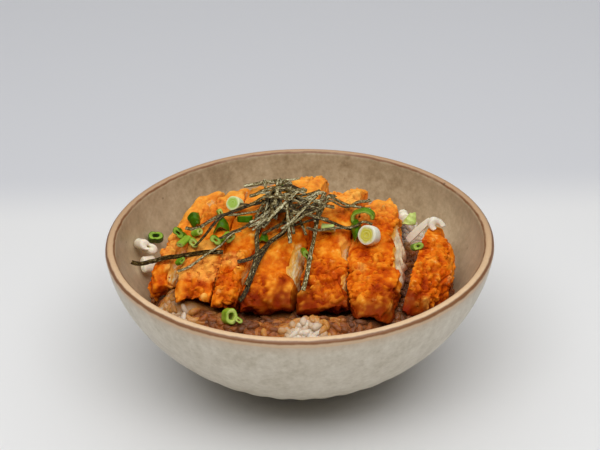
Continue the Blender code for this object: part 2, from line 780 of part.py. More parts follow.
def strip_surface(points, width):
    """An open band of the given width along the points."""
    shape = bmesh.new()
    last = len(points) - 1
    bmesh.ops.create_grid(shape, x_segments=last, y_segments=1, size=0.5)
    for vertex in shape.verts:
        index = round((vertex.co.x + 0.5) * last)
        side = 1 if vertex.co.y > 0 else -1
        vertex.co = points[index] + side_direction(points, index) * (side * width / 2)
    return shape


def lift_clear(points, tree):
    """Raise the points until the strip along them clears everything below."""
    clear = GAP + NORI_THICKNESS
    half_width = NORI_WIDTH / 2 + GAP
    for index in range(len(points) - 1):
        near, far = points[index], points[index + 1]
        near_side = side_direction(points, index)
        far_side = side_direction(points, index + 1)
        count = math.ceil((far - near).length / LIFT_SAMPLING)
        for step in range(count + 1):
            share = step / count
            side = near_side.lerp(far_side, share) * half_width
            lack = 0.0
            for edge in LIFT_EDGES:
                spot = near.lerp(far, share) + side * edge
                lack = max(lack, height_under(tree, spot.x, spot.y) + clear - spot.z)
            weight = (1 - share) ** 2 + share ** 2
            near.z += lack * (1 - share) / weight
            far.z += lack * share / weight


def build_nori(material, collection, carriers):
    tree = world_tree(carriers)
    shape = bmesh.new()
    bmesh.ops.create_uvsphere(shape, u_segments=12, v_segments=6, radius=1.0)
    for vertex in shape.verts:
        share_up = (vertex.co.z + 1) / 2
        vertex.co.x = NORI_CORE_CENTRE[0] + NORI_CORE_RADII[0] * vertex.co.x
        vertex.co.y = NORI_CORE_CENTRE[1] + NORI_CORE_RADII[1] * vertex.co.y
        under = highest_near(tree, vertex.co.x, vertex.co.y, NORI_CORE_REACH) + 2 * GAP
        vertex.co.z = under + NORI_CORE_HEIGHT * share_up
    core = object_from_bmesh("nori_shreds", shape, material, collection)
    strips = []
    for path_mm in NORI_PATHS_MM:
        points = [Vector((x, y, z)) * 0.001 + Vector((0, 0, RIM_HEIGHT)) for x, y, z in path_mm]
        points = smooth_path(points, NORI_STEP)
        lift_clear(points, tree)
        strips.append(solid_band(points))
    join_pieces(core, strips, material)
    shade_round(core)
    return core


def solid_band(points):
    """A closed strip of nori along the points."""
    shape = strip_surface(points, NORI_WIDTH)
    bmesh.ops.recalc_face_normals(shape, faces=shape.faces)
    bmesh.ops.solidify(shape, geom=shape.faces, thickness=NORI_THICKNESS)
    return shape


def main():
    clear_scene()
    collection = new_collection(COLLECTION_NAME)
    stoneware = plain_material("stoneware", (0.42, 0.36, 0.29), 0.45)
    crust = plain_material("crumb_crust", (0.60, 0.20, 0.03), 0.6)
    cooked_rice = plain_material("cooked_rice", (0.70, 0.58, 0.42), 0.5)
    green_onion = plain_material("green_onion", (0.22, 0.40, 0.06), 0.4)
    white_onion = plain_material("white_onion", (0.78, 0.78, 0.62), 0.4)
    dried_nori = plain_material("dried_nori", (0.05, 0.05, 0.03), 0.45)
    bowl = build_bowl(stoneware, collection)
    rice = build_rice_core(cooked_rice, collection)
    bed = world_tree([rice])
    slices = [build_slice(part, index, bed, crust, collection) for index, part in enumerate(SLICES)]
    slices.append(build_end_slice(bed, crust, collection))
    carriers = [bowl, rice, *slices]
    for part in ONIONS:
        skin = white_onion if part.name.startswith("onion_white") else green_onion
        piece = build_onion(part, skin, collection)
        rest_on(piece, carriers)
        carriers.append(piece)
    carriers.append(build_sliver(white_onion, collection))
    add_grains(rice, cooked_rice, carriers[2:])
    build_nori(dried_nori, collection, carriers)


main()
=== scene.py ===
"""Fried chicken rice bowl, dressed for its photograph.

Stoneware bowl, rice bed, seven slices of crumbed chicken, cut spring onion
and shredded nori. Lengths are metres, +Z is up, and the origin is the middle
of the foot ring's underside. Heights named "above the rim" are negative
inside the bowl.
"""

import math
import random
from collections import namedtuple

import bmesh
import bpy
import numpy as np
from mathutils import Matrix, Vector, noise
from mathutils.bvhtree import BVHTree


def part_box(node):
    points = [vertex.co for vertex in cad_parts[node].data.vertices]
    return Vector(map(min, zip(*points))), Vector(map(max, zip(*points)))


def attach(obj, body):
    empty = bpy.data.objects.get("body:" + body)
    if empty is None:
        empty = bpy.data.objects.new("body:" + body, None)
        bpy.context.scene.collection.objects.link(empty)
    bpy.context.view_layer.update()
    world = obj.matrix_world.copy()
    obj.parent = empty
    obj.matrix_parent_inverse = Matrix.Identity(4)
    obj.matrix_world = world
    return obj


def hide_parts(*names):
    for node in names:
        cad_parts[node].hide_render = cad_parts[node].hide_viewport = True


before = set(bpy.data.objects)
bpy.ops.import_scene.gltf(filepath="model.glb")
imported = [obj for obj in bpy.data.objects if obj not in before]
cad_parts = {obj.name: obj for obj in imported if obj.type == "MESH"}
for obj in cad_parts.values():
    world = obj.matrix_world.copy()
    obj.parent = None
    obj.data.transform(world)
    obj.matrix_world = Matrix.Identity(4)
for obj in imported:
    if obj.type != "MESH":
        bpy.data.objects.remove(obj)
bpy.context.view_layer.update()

MM = 0.001
MERGE_DISTANCE = 1e-6

# Small shapes strewn over a surface: how many kinds, and the most per square metre
STREWN_KINDS = 4
DENSITY_MOST = 3.0e6

# Bowl
RIM_RADIUS = 0.088
RIM_HEIGHT = 0.070
WALL = 0.0048
LIP_RADIUS = WALL / 2
BODY_DEPTH = 0.0722
BODY_DEPTH_POWER = 1.75
BODY_RADIUS_POWER = 1.87
INNER_DEPTH = 0.0625
INNER_POWER = 1.9
FOOT_RADIUS = 0.0315
FOOT_WIDTH = 0.0045
FOOT_RECESS = 0.0028
FOOT_FLARE = 0.0015
FOOT_HEIGHT = 0.0045
FOOT_EASE = 0.0007
EASE_STEPS = 4
BODY_BOTTOM = 0.0105
FLUTE_COUNT = 36
FLUTE_DEPTH = 0.0007
FLUTE_BOTTOM = 0.006
FLUTE_TOP = 0.034
FLUTE_FADE = 0.6
FLUTES_FROM_CREST = 0.002
THROWING_WOBBLE = 0.0004
WOBBLE_SIZE = 0.045
AXIS_GUARD = 0.01
BOWL_SEGMENTS = 288
INSIDE_STEPS = 40
OUTSIDE_STEPS = 44
LIP_STEPS = 12

# Lines and band in the glaze, by their distance from the rim's crest
INNER_LINE = -0.0019
OUTER_LINE = 0.0022
OUTER_BAND = 0.0036
LINE_BROWN = (128, 76, 32)

# Rice bed, heights above the rim
RICE_TOP = -0.011
RICE_TOP_Y = 0.018
RICE_FALL_X = 4.5
RICE_FALL_Y = 3.0
RICE_TILT = 0.03
RIDGE_HEIGHT = 0.014
RIDGE_RADIUS = 0.060
RIDGE_WIDTH = 0.009
RIDGE_ARC_DEG = 60
# x, y, height and spread of the clumps that rise from the bed
RICE_CLUMPS = (
    (0.051, 0.033, 0.0085, 0.0065),
    (0.005, -0.053, 0.0035, 0.0055),
    (-0.058, -0.031, 0.0100, 0.0110),
)
# The bed's edge lies between two radii, and is found by halving
RICE_EDGE_BETWEEN = (0.040, 0.0815)
HALVINGS = 24
RICE_SEGMENTS = 160
RICE_RINGS = 56
RICE_LUMP = 0.0011
RICE_LUMP_SIZE = 0.004
RICE_SEED = 3
CORE_TONE = 0.4
GRAIN_LENGTH = 0.0066
GRAIN_WIDTH = 0.0034
GRAIN_FLATNESS = 0.86
GRAIN_SEGMENTS = 8
GRAIN_RINGS = 6
GRAIN_SPACING = 0.0022
LOOSE_GRAIN_SPACING = 0.0042
GRAIN_LIFT_SPREAD = 0.0004
GRAIN_ROLL = 0.3
GRAIN_TURN = 1.35
GRAIN_SIZES = ((0.8, 0.85, 0.85), (1.1, 1.1, 1.1))
# Each layer's input for its spacing, with its lift and its tilt
GRAIN_LAYERS = (("Spacing", -0.0004, 0.14), ("Loose Spacing", 0.0005, 0.18))
# Each kind's stretch, girth, bow and taper
GRAIN_KINDS = (
    (1.0, 1.0, 0.05, 0.10),
    (1.05, 0.85, 0.10, 0.18),
    (0.92, 0.95, 0.20, 0.05),
    (0.66, 1.0, 0.04, 0.30),
)
# Rice shows where no slice is near above it and the wall leaves room
COVER_START = 0.0005
COVER_HEIGHT = 0.006
GRAIN_ROOM = 0.0012
# painted shade: how far from a slice the rice is darkened
SLICE_SHADE_REACH = 0.007

# x, y, spread and depth of the sauce that has soaked into the rice; a
# negative depth is a place that has stayed white
SOAKED_SPOTS = (
    (-0.0020, -0.0740, 0.0080, -0.75),
    (0.0070, -0.0730, 0.0070, -0.60),
    (0.0030, -0.0590, 0.0095, -0.50),
    (-0.0150, -0.0700, 0.0070, -0.32),
    (0.0220, -0.0700, 0.0070, -0.26),
    (0.0520, 0.0100, 0.0080, 0.35),
    (0.0010, -0.0640, 0.0050, -0.45),
    (-0.0540, -0.0450, 0.0050, -0.65),
    (-0.0600, -0.0370, 0.0110, -0.55),
    (0.0510, 0.0320, 0.0100, -0.45),
    (0.0660, -0.0320, 0.0060, -0.35),
    (0.0220, -0.0600, 0.0110, 0.15),
)
SOAK_FRONT = 0.92
SOAK_BACK = 0.34
SOAK_STEP = (-0.020, 0.010)

# Chicken; the gap is negative, because the slices lie a little into each other
SEAM_REACH = 0.035
SEAM_GAP = -0.0003
SEAM_WANDER = 0.0013
SEAM_WANDER_SIZE = 0.0070
SEAM_UPRIGHT = 0.4
UNDER_RISE = 0.0016
UNDER_SIZE = 0.0060
SLICE_ROUNDNESS = 2.3
UNDERSIDE_SHARE = 0.5
SLICE_TILT = 0.0013
SLICE_SEED_STEP = 3.7
CRAG_HEIGHT = 0.0019
CRAG_SIZE = 0.0075
SLICE_HALF_WIDTH = 0.010
SLICE_HALF_HEIGHT = 0.008
EDGE_EASE = 0.0021
EDGE_EASE_POWER = 5
CRUST_THICKNESS = 0.0013
CRUST_DEPTHS = (0.3 * CRUST_THICKNESS, 1.8 * CRUST_THICKNESS)
CLOSED_LEAN = 0.3
CUT_FADE = 0.007
SIDE_RELIEF = 0.35
PROUD_EDGE = 0.002
SHOWN_LIFT = (0.001, 0.003)
END_TAPER = 0.16
END_TAPER_POWER = 7
FREE_SIDE = "chicken_slice_6"
FREE_WANDER = 0.0010
FREE_WANDER_SIZE = 0.0040
FREE_SEED = 5.0
CUT_WANDER = 0.0014
CUT_WANDER_SIZE = 0.0030
CUT_SEED = 9.0
SLICE_PITCH = 0.00044
SLICE_COLUMNS = 44
SLICE_LAYERS = 46
BED_GAP = 0.0006
GAP = 0.0003
# A place on the unit block lies on one of its sides beyond this
SIDE = 0.999

# What the crust's tree is given
CRUST_RELIEF = {
    "Crag_Size": 0.0046,
    "Crag_Height": 0.0018,
    "Crumb_Size": 0.0026,
    "Crumb_Height": 0.0008,
    "Fibre_Height": 0.0006,
    "Flake_Spacing": 0.0026,
    "Crease_Depth": 0.0009,
}
FLAKE_RADIUS = 0.00095
FLAKE_SIZES = (0.55, 1.1)
FLAKE_SQUASH = ((0.8, 1.1), (0.6, 0.9), (0.45, 0.6))
FLAKE_BULGE = 0.30
FLAKE_WAVES = 1400
FLAKE_TILT = 0.3
FLAKE_SEED = 8
FLAKE_SEED_STEP = 5

# x of a slice's side at y of -SEAM_REACH, 0 and SEAM_REACH
SEAMS = (
    (-0.0790, -0.0645, -0.0500),
    (-0.0610, -0.0492, -0.0358),
    (-0.0560, -0.0482, -0.0350),
    (-0.0386, -0.0310, -0.0226),
    (-0.0260, -0.0163, -0.0066),
    (-0.0012, 0.0060, 0.0147),
    (0.0213, 0.0240, 0.0340),
    (0.0432, 0.0482, 0.0450),
)

# Each slice's left and right sides, the y of its ends, the height of its top
# above the rim at the front, middle and back, how far its right side leans in
# at the top, and the side that is crust too, -1 for the left
Slice = namedtuple("Slice", "name left right front back tops lean crust_side")

SLICES = (
    Slice("chicken_slice_1", SEAMS[0], SEAMS[1], -0.0200, 0.043, (-0.010, -0.001, 0.006), 0.006, -1),
    Slice("chicken_slice_2", SEAMS[2], SEAMS[3], -0.0355, 0.040, (-0.008, 0.003, 0.009), 0.003, 0),
    Slice("chicken_slice_3", SEAMS[3], SEAMS[4], -0.0390, 0.041, (-0.008, 0.005, 0.010), 0.003, 0),
    Slice("chicken_slice_4", SEAMS[4], SEAMS[5], -0.0415, 0.043, (-0.007, 0.006, 0.014), 0.007, 0),
    Slice("chicken_slice_5", SEAMS[5], SEAMS[6], -0.0440, 0.037, (-0.008, 0.001, 0.0095), 0.004, 0),
    Slice("chicken_slice_6", SEAMS[6], SEAMS[7], -0.0525, 0.034, (-0.009, -0.001, 0.004), 0.006, 0),
)

# The end slice lies apart. Its inner side runs straight from front to back, its
# bulge is a share of its width at the front, middle and back, and its tops are
# heights above the rim there
END_SLICE_FRONT = np.array((0.0440, -0.0415))
END_SLICE_BACK = np.array((0.0620, 0.0165))
END_SLICE_WIDTH = 0.0150
END_SLICE_BULGE = (0.30, 1.0, 0.55)
END_SLICE_TOPS = (-0.0140, -0.0050, -0.0012)
END_SLICE_OUTER_FALL = 0.0060
END_SLICE_THICKNESS = 0.0150
END_SLICE_SEED = 31.0
END_SLICE_GRID = (40, 130, 44)

# Stretches along y where a slice's right-hand cut face lies open to its meat
OPEN_CUTS = {
    "chicken_slice_1": ((-0.0195, 0.0010), (0.0255, 0.0330)),
    "chicken_slice_2": ((0.0290, 0.0370),),
    "chicken_slice_3": ((-0.0290, -0.0165),),
    "chicken_slice_4": ((-0.0300, -0.0100),),
    "chicken_slice_5": ((-0.0350, -0.0260), (-0.0180, -0.0070)),
    "chicken_slice_6": ((-0.0250, 0.0080),),
}

# x, y and spread of the places where the crust is craggiest
CRAG_SPOTS = (
    (0.0604, -0.0202, 0.0065), (0.0575, -0.0300, 0.0065), (0.0630, -0.0080, 0.0045),
    (-0.0317, -0.0314, 0.0075), (-0.0230, -0.0350, 0.0045), (0.0096, -0.0257, 0.0080),
    (0.0135, -0.0360, 0.0060), (0.0303, -0.0331, 0.0075), (0.0350, -0.0200, 0.0050),
    (-0.0660, -0.0060, 0.0060), (-0.0460, -0.0290, 0.0045), (0.0260, 0.0220, 0.0070),
    (-0.0420, 0.0150, 0.0060), (0.0400, 0.0100, 0.0070),
)

# x, y and spread of the places where the crust is paler, partly its own colour and partly painted light on
# spots that lie in shade
PALE_AND_LIT_SPOTS = (
    (-0.0416, -0.0236, 0.0030), (-0.0560, -0.0225, 0.0030), (-0.0440, -0.0100, 0.0035),
    (-0.0290, -0.0190, 0.0030), (0.0200, -0.0080, 0.0035), (-0.0600, 0.0100, 0.0040),
    (0.0270, -0.0240, 0.0025), (0.0560, -0.0350, 0.0025), (-0.0570, -0.0060, 0.0070),
    (-0.0430, -0.0200, 0.0070), (0.0265, 0.0210, 0.0060), (0.0010, -0.0200, 0.0030),
)

# x, y and spread of the places where the crust is darker, partly sauce and partly painted shade under the
# slices' overhang
SAUCE_AND_SHADE_SPOTS = (
    (-0.0080, -0.0400, 0.0110), (0.0370, -0.0520, 0.0070), (0.0480, -0.0400, 0.0060),
    (0.0180, -0.0450, 0.0045), (-0.0240, -0.0410, 0.0040),
)

# Spring onion: a piece lies where its CAD node does, and its axis leans by
# lean_deg from upright towards turn_deg, which is measured from the front of
# the bowl towards its right-hand side
Onion = namedtuple("Onion", "name kind size length lean_deg turn_deg finish")

ONION_WALL = 0.0017
ONION_WALL_SHARE = 0.37
STUB_WALL_SHARE = 0.42
CURL_WALL_SHARE = {"green": 0.16, "dark": 0.20, "white": 0.38}
# How far a tube is squashed to an oval
SQUASH = {"dark": 3.2, "green": 2.2, "white": 2.4, "lime": 1.4, "pale": 1.0}
OVALS = (0.08, 0.22)
OVAL_MOST = 0.45
FIVE_FOLD = 0.03
CUT_EASE_SHARE = 0.35
CUT_EASE_STEPS = 3
CUT_TILT = 0.25
CUT_FLARE = 0.04
WALL_STEPS = 6
LONG_STRETCH = 0.0012
RING_STEPS = 40
CURL_STEPS = 28
CURL_ARC_DEG = 210

# A flat piece of leaf: how it arches, twists, narrows, sags and waves
LEAF_THICKNESS = 0.0007
LEAF_GRID = (20, 26, 2)
LEAF_ARCH = {"dark": 2.4, "white": 1.6, "pale": 1.4}
LEAF_TWIST = (0.18, 0.40)
LEAF_TAPER = 0.13
LEAF_SAG = 0.06
LEAF_SWAY = 0.12
LEAF_SLANT = 0.14
LEAF_RIPPLE = 0.00022
LEAF_EDGE_WAVE = 0.0004

# A closed round: shares of its radius and height, and steps across and down
ROUND_RINGS = 26
ROUND_SEGMENTS = 48
ROUND_SIDE = 4
ROUND_FACE = 0.94
ROUND_BULGE = 0.06
ROUND_SHOULDER = 0.97
ROUND_EASE = 0.0004
ROUND_OVAL = 0.03
ROUND_WAVE = 0.015
RING_COUNT = 4
RING_RELIEF = 0.00005
HEART_DEPTH = 0.0002
HEART_SHARE = 0.15

# How far the middle of a piece lies from its CAD node's
SHIFTS = {
    "onion_leaf_seam": Vector((0, 0, 0.0014)),
    "onion_green_top": Vector((0, 0, 0.0020)),
    "onion_white_tip": Vector((-0.0008, 0, 0.0022)),
}

ONIONS = (
    Onion("onion_white_wall_lower", "tube", 0.0058, 0.0060, 80, -60, "white"),
    Onion("onion_white_wall", "tube", 0.0066, 0.0085, 70, 35, "white"),
    Onion("onion_green_wall", "tube", 0.0056, 0.0055, 40, 10, "dark"),
    Onion("onion_leaf_back", "leaf", 0.0050, 0.0062, 35, 20, "dark"),
    Onion("onion_ring_left", "tube", 0.0046, 0.0040, 55, -30, "dark"),
    Onion("onion_long_green", "tube", 0.0032, 0.0076, 90, -27, "lime"),
    Onion("onion_ring_front", "tube", 0.0040, 0.0034, 72, 5, "lime"),
    Onion("onion_ring_behind", "tube", 0.0040, 0.0040, 60, 60, "lime"),
    Onion("onion_pale_round", "round", 0.0072, 0.0046, 52, -38, "pale"),
    Onion("onion_leaf_dark", "leaf", 0.0062, 0.0062, 20, 0, "dark"),
    Onion("onion_curl_dark", "curl", 0.0066, 0.0028, 25, 180, "dark"),
    Onion("onion_bit_back", "tube", 0.0032, 0.0030, 60, 20, "lime"),
    Onion("onion_ring_middle", "tube", 0.0044, 0.0036, 60, -15, "green"),
    Onion("onion_tube_middle", "tube", 0.0042, 0.0052, 75, 30, "lime"),
    Onion("onion_bit_seam", "tube", 0.0030, 0.0034, 60, 60, "green"),
    Onion("onion_green_top", "tube", 0.0045, 0.0045, 70, 40, "green"),
    Onion("onion_leaf_tangle", "leaf", 0.0040, 0.0046, 25, 0, "dark"),
    Onion("onion_tube_upright", "tube", 0.0040, 0.0056, 75, 10, "green"),
    Onion("onion_tube_pale", "tube", 0.0042, 0.0062, 90, 80, "pale"),
    Onion("onion_leaf_seam", "leaf", 0.0042, 0.0140, 0, 0, "dark"),
    Onion("onion_curl_bright", "curl", 0.0092, 0.0056, 78, -10, "green"),
    Onion("onion_white_round", "round", 0.0094, 0.0050, 62, -40, "white"),
    Onion("onion_white_clump", "leaf", 0.0062, 0.0056, 30, 40, "white"),
    Onion("onion_yellow_clump", "leaf", 0.0052, 0.0062, 35, -20, "pale"),
    Onion("onion_green_gap", "tube", 0.0042, 0.0040, 55, 20, "green"),
    Onion("onion_white_tip", "curl", 0.0076, 0.0044, 84, 12, "white"),
    Onion("onion_tube_rice", "tube", 0.0060, 0.0064, 62, 28, "lime"),
    Onion("onion_bit_rice", "tube", 0.0028, 0.0028, 60, 0, "lime"),
)

# The long white sliver leans from the rice onto the end slice
SLIVER_LOW_END = Vector((0.0503, 0.0120, RIM_HEIGHT - 0.0120))
SLIVER_HIGH_END = Vector((0.0602, 0.0100, RIM_HEIGHT))
SLIVER_WIDTH = 0.0034
SLIVER_THICKNESS = 0.0012
SLIVER_FACING = Vector((0.0, -0.6, 0.8))
SLIVER_GRID = (10, 36, 4)
SLIVER_TAPER = 0.22
SLIVER_POINT = 0.12
SLIVER_DOME = 0.3
SLIVER_BOW = 0.0003

# Each leaf's name, its skin's two shades, its flesh and its cut rim
GREEN, LIME, CREAM = (64, 122, 30), (150, 184, 62), (232, 232, 196)
LEAF_COLOURS = {
    "dark": ("dark green leaf", ((54, 88, 2), (84, 128, 10)), GREEN, LIME),
    "green": ("green leaf", ((74, 116, 2), (116, 160, 22)), LIME, (172, 194, 84)),
    "lime": ("lime leaf", ((116, 150, 26), (160, 188, 58)), (182, 198, 84), (202, 212, 116)),
    "pale": ("pale leaf", ((176, 202, 92), (214, 224, 140)), (226, 230, 160), CREAM),
    "white": ("white leaf", ((248, 242, 224), (234, 222, 198)), (238, 230, 196), (250, 246, 228)),
}
# Each round's name, its two pale shades and its heart
ROUND_COLOURS = {
    "white round": ("white onion end", ((246, 244, 228), (232, 232, 204)), (214, 206, 74)),
    "pale round": ("pale onion end", ((240, 242, 204), (200, 218, 130)), (168, 200, 76)),
}

# Nori: each strip is a list of points (x, y, height above the rim) in
# millimetres
NORI_WIDTH = 0.0020
NORI_THICKNESS = 0.00028
NORI_STEP = 0.0011
NORI_CLEAR = 0.00070
NORI_STIFFNESS = 60
NORI_FRAY = 0.00014
FRAY_WAVES = 900.0
NORI_SHARP_DEG = 50
NORI_BREADTHS = (0.48, 0.95)
NORI_FACING = Vector((0.0, -0.65, 0.75))
NORI_FACING_SPREAD = ((-0.4, 0.4), (-0.3, 0.3), (-0.2, 0.3))
NORI_ROLL = 0.45
NORI_ROLL_SHARES = (0.2, 1.0)
NORI_ROLL_LENGTH = 0.009
NORI_SEED = 3
PILE_CELL = 0.0007
PROBES_ACROSS = (-1, -0.5, 0, 0.5, 1)
DROP_HEIGHT = 0.120
NORI_PATHS_MM = (
    ((-77.5, 1, -16.5), (-68, -8, -9), (-60.5, -11, -5), (-54, -14, -2.6), (-42.3, -15.1, -0.4),
     (-34, -16.5, 0.8)),
    ((-54, -24.5, -5.5), (-47.8, -21.4, -3.5), (-40.8, -16.7, -1), (-34, -15.5, 1), (-26, -10, 4)),
    ((-52, 4.5, -1.5), (-46, 0, 4), (-39, 2, 6), (-30.5, 2.5, 8), (-21.5, 4.5, 8.5), (-6, 7, 10)),
    ((-46.5, -15, 1), (-39.5, -4, 6), (-35, 0.5, 8), (-24, 8, 10), (-16, 11, 10), (-5, 6, 10)),
    ((-25.5, 26, 10), (-17, 26.5, 12), (-11.5, 26, 14), (-7.5, 25, 13), (-4, 16, 12.5), (-4, 6, 10)),
    ((0.5, 28, 12), (-3, 26, 14), (-6, 25.5, 12), (-8.5, 19.5, 11.5), (-8, 6, 10)),
    ((-16, 28.5, 12), (-14, 12, 12), (-10, 1, 9)),
    ((-8, 21.5, 12), (-9, 6, 11), (-11, -4, 8)),
    ((-16.5, -8.5, 5.5), (-7, 4, 10), (2.5, 7.5, 13), (9.5, 12.5, 14), (12, 11.5, 14)),
    ((12, 12, 14), (9.5, 4.5, 11.5), (7, -8, 5), (6, -13.5, 1.5), (3, -30, -4), (1, -39.5, -7.5)),
    ((-2, 4, 10), (1.5, -6, 7.5), (3, -11, 2)),
    ((-3, -4, 8.5), (-8, -11.5, 6.5), (-13.5, -15.5, 4), (-18.5, -24.5, 0), (-23.5, -36.5, -7.5),
     (-26.5, -42, -12)),
    ((-11, -2, 8), (-18.5, -9.5, 5), (-19, -21, 1), (-23.5, -36.5, -7)),
    ((-27.5, -24.5, -2.5), (-20, -22.5, 0.5), (-12, -14.5, 5)),
    ((17, 15, 12), (14, 10, 6.5), (7, -6, 5.5)),
    ((0, 1, 9), (8.5, 3.5, 6.5), (21, 9.5, 6), (27, 18, 4.5), (31.5, 20.5, 4.5), (33.5, 22, 3)),
    ((-2, 3, 9.5), (11, 7.5, 7), (23, 9, 5.5), (33, 12.5, 2.5)),
    ((-8, -9, 6.5), (7, -4, 4), (23.5, -4, 1.5)),
    ((-6, -2, 9), (4.5, 5.5, 12), (8.5, 10, 9.5)),
    ((3, -7, 6), (9, -8, 3), (24, -4.5, 3.5), (29, 1, 4.5), (33, -1, 3.5)),
    ((-19.5, -1, 6.5), (-7, 0, 9.5), (6, 7, 9)),
    ((-16.5, -12.5, 4), (-8.5, -6, 8), (0.5, -2.5, 9.5), (8.5, 5, 7)),
    ((-23, -6.5, 4.5), (-14, -3.5, 8), (-4, 4, 10.5)),
    ((-12.5, -16, 3.5), (-4, -9, 7), (0.5, -3, 8)),
    ((-17, 8, 9.5), (-8, 8, 11), (0.5, 10.5, 15)),
    ((-35.5, -15.5, 0.8), (-30, -12, 3), (-24.5, -8, 5), (-17, 0, 8.5), (-7, 9.5, 12.5)),
)
# Strips of full width, by their place in the list
BROAD_STRIPS = (0, 4, 9, 11, 12)

# Short strips that fill out the heap
TANGLE_CENTRE = (-0.0040, 0.0015)
TANGLE_RADII = (0.0130, 0.0105)
TANGLE_HEIGHTS = (0.006, 0.0125)
TANGLE_HEADINGS_DEG = ((10, 50), (50, 100), (-20, 10))
TANGLE_HALF_LENGTHS = (0.008, 0.014)
TANGLE_BOW = 0.16
TANGLE_BENDS = 0.4
TANGLE_BOW_SHARE = 0.7
TANGLE_DROPS = (0.0015, 0.004)
TANGLE_END_DROPS = (0.2, 1.2)
TANGLE_STRIPS = 26
TANGLE_SEED = 5

# Floor and light; each lamp's name, place, size and power
FLOOR_REACH = 4
FLOOR_FRONT = (231, 231, 231)
FLOOR_BEHIND = (213, 214, 218)
FLOOR_FAR = (222, 223, 227)
LAMPS = (
    ("ceiling", (0, 0, 1.2), (2.4, 2.4), 20.5),
    ("front", (0, -0.60, 1.1), (1.5, 0.5), 7.2),
)
LAMP_TARGET = (0, 0, 0.04)
ROOM_LIGHT = (0.97, 0.98, 1.0, 1.0)
ROOM_STRENGTH = 0.03

# Camera, fitted to the bowl's rim and foot
CAMERA_ELEVATION_DEG = 29.65
CAMERA_ROLL_DEG = 1.1
CAMERA_DISTANCE = 0.634
FOCAL_PIXELS = 1395
PHOTO_WIDTH, PHOTO_HEIGHT = 600, 450
PHOTO_CENTRE = (299.45, 232.9)
SENSOR_WIDTH = 36.0


# Node trees written as sums


def socket_named(sockets, name):
    """A node's socket by name or number, or its first one that is in use."""
    if isinstance(name, int):
        return sockets[name]
    return next(socket for socket in sockets if socket.enabled and name in (None, socket.name))


class Value:
    """A node's output that sums can be written on."""

    def __init__(self, nodes, output):
        self.nodes = nodes
        self.output = output

    def __add__(self, other):
        return self.nodes.maths("ADD", self, other)

    def __radd__(self, other):
        return self.nodes.maths("ADD", other, self)

    def __sub__(self, other):
        return self.nodes.maths("SUBTRACT", self, other)

    def __rsub__(self, other):
        return self.nodes.maths("SUBTRACT", other, self)

    def __mul__(self, other):
        return self.nodes.maths("MULTIPLY", self, other)

    def __rmul__(self, other):
        return self.nodes.maths("MULTIPLY", other, self)

    def __truediv__(self, other):
        return self.nodes.maths("DIVIDE", self, other)

    def __rtruediv__(self, other):
        return self.nodes.maths("DIVIDE", other, self)

    def __pow__(self, other):
        return self.nodes.maths("POWER", self, other)

    def __gt__(self, other):
        return self.nodes.maths("GREATER_THAN", self, other)

    def __abs__(self):
        return self.nodes.maths("ABSOLUTE", self)


class Nodes:
    """A node tree, for a finish or for a shape."""

    def __init__(self, tree):
        self.tree = tree

    def add(self, kind, settings=None, values=None, output=None):
        """Add a node and give one of its outputs, the first in use unless named."""
        node = self.tree.nodes.new(kind)
        for name, setting in (settings or {}).items():
            if name == "stops":
                fill_ramp(node.color_ramp, setting)
            else:
                setattr(node, name, setting)
        for name, value in (values or {}).items():
            self.give(socket_named(node.inputs, name), value)
        return Value(self, socket_named(node.outputs, output))

    def give(self, socket, value):
        if isinstance(value, Value):
            self.tree.links.new(value.output, socket)
        else:
            socket.default_value = value

    def beside(self, value, output):
        """Another output of the node that a value comes from."""
        return Value(self, socket_named(value.output.node.outputs, output))

    def maths(self, operation, *values):
        return self.add("ShaderNodeMath", {"operation": operation}, dict(enumerate(values)))

    def vector(self, operation, values):
        return self.add("ShaderNodeVectorMath", {"operation": operation}, values)

    def step(self, value, low, high):
        """0 below low, 1 above high, smooth between; low may be the higher one."""
        return self.add("ShaderNodeMapRange", {"interpolation_type": "SMOOTHSTEP"},
                        {"Value": value, "From Min": low, "From Max": high})

    def split(self, vector):
        x = self.add("ShaderNodeSeparateXYZ", values={0: vector}, output="X")
        return x, self.beside(x, "Y"), self.beside(x, "Z")

    def combine(self, x=0.0, y=0.0, z=0.0):
        return self.add("ShaderNodeCombineXYZ", values={"X": x, "Y": y, "Z": z})

    def mottle(self, place, size, detail=2.0, roughness=0.5, seed=0.0):
        """Cloudy noise from 0 to 1 with blobs of about the given size."""
        return self.add("ShaderNodeTexNoise", {"noise_dimensions": "4D"}, {
            "Vector": place, "W": seed, "Scale": 1 / size, "Detail": detail, "Roughness": roughness}, 0)

    def cells(self, place, size):
        """Distance to the nearest of many points about the given size apart."""
        return self.add("ShaderNodeTexVoronoi", None, {"Vector": place, "Scale": 1 / size}, "Distance")


def fill_ramp(ramp, stops):
    """Set a ramp's stops, each a place and then a screen colour's three levels."""
    while len(ramp.elements) < len(stops):
        ramp.elements.new(1.0)
    for element, (place, *levels) in zip(ramp.elements, stops):
        element.position = place
        element.color = colour(*levels)


def colour(red, green, blue):
    """A screen colour from 0 to 255 as the linear colour a shader takes."""
    def linear(level):
        share = level / 255
        return share / 12.92 if share <= 0.04045 else ((share + 0.055) / 1.055) ** 2.4
    return (linear(red), linear(green), linear(blue), 1.0)


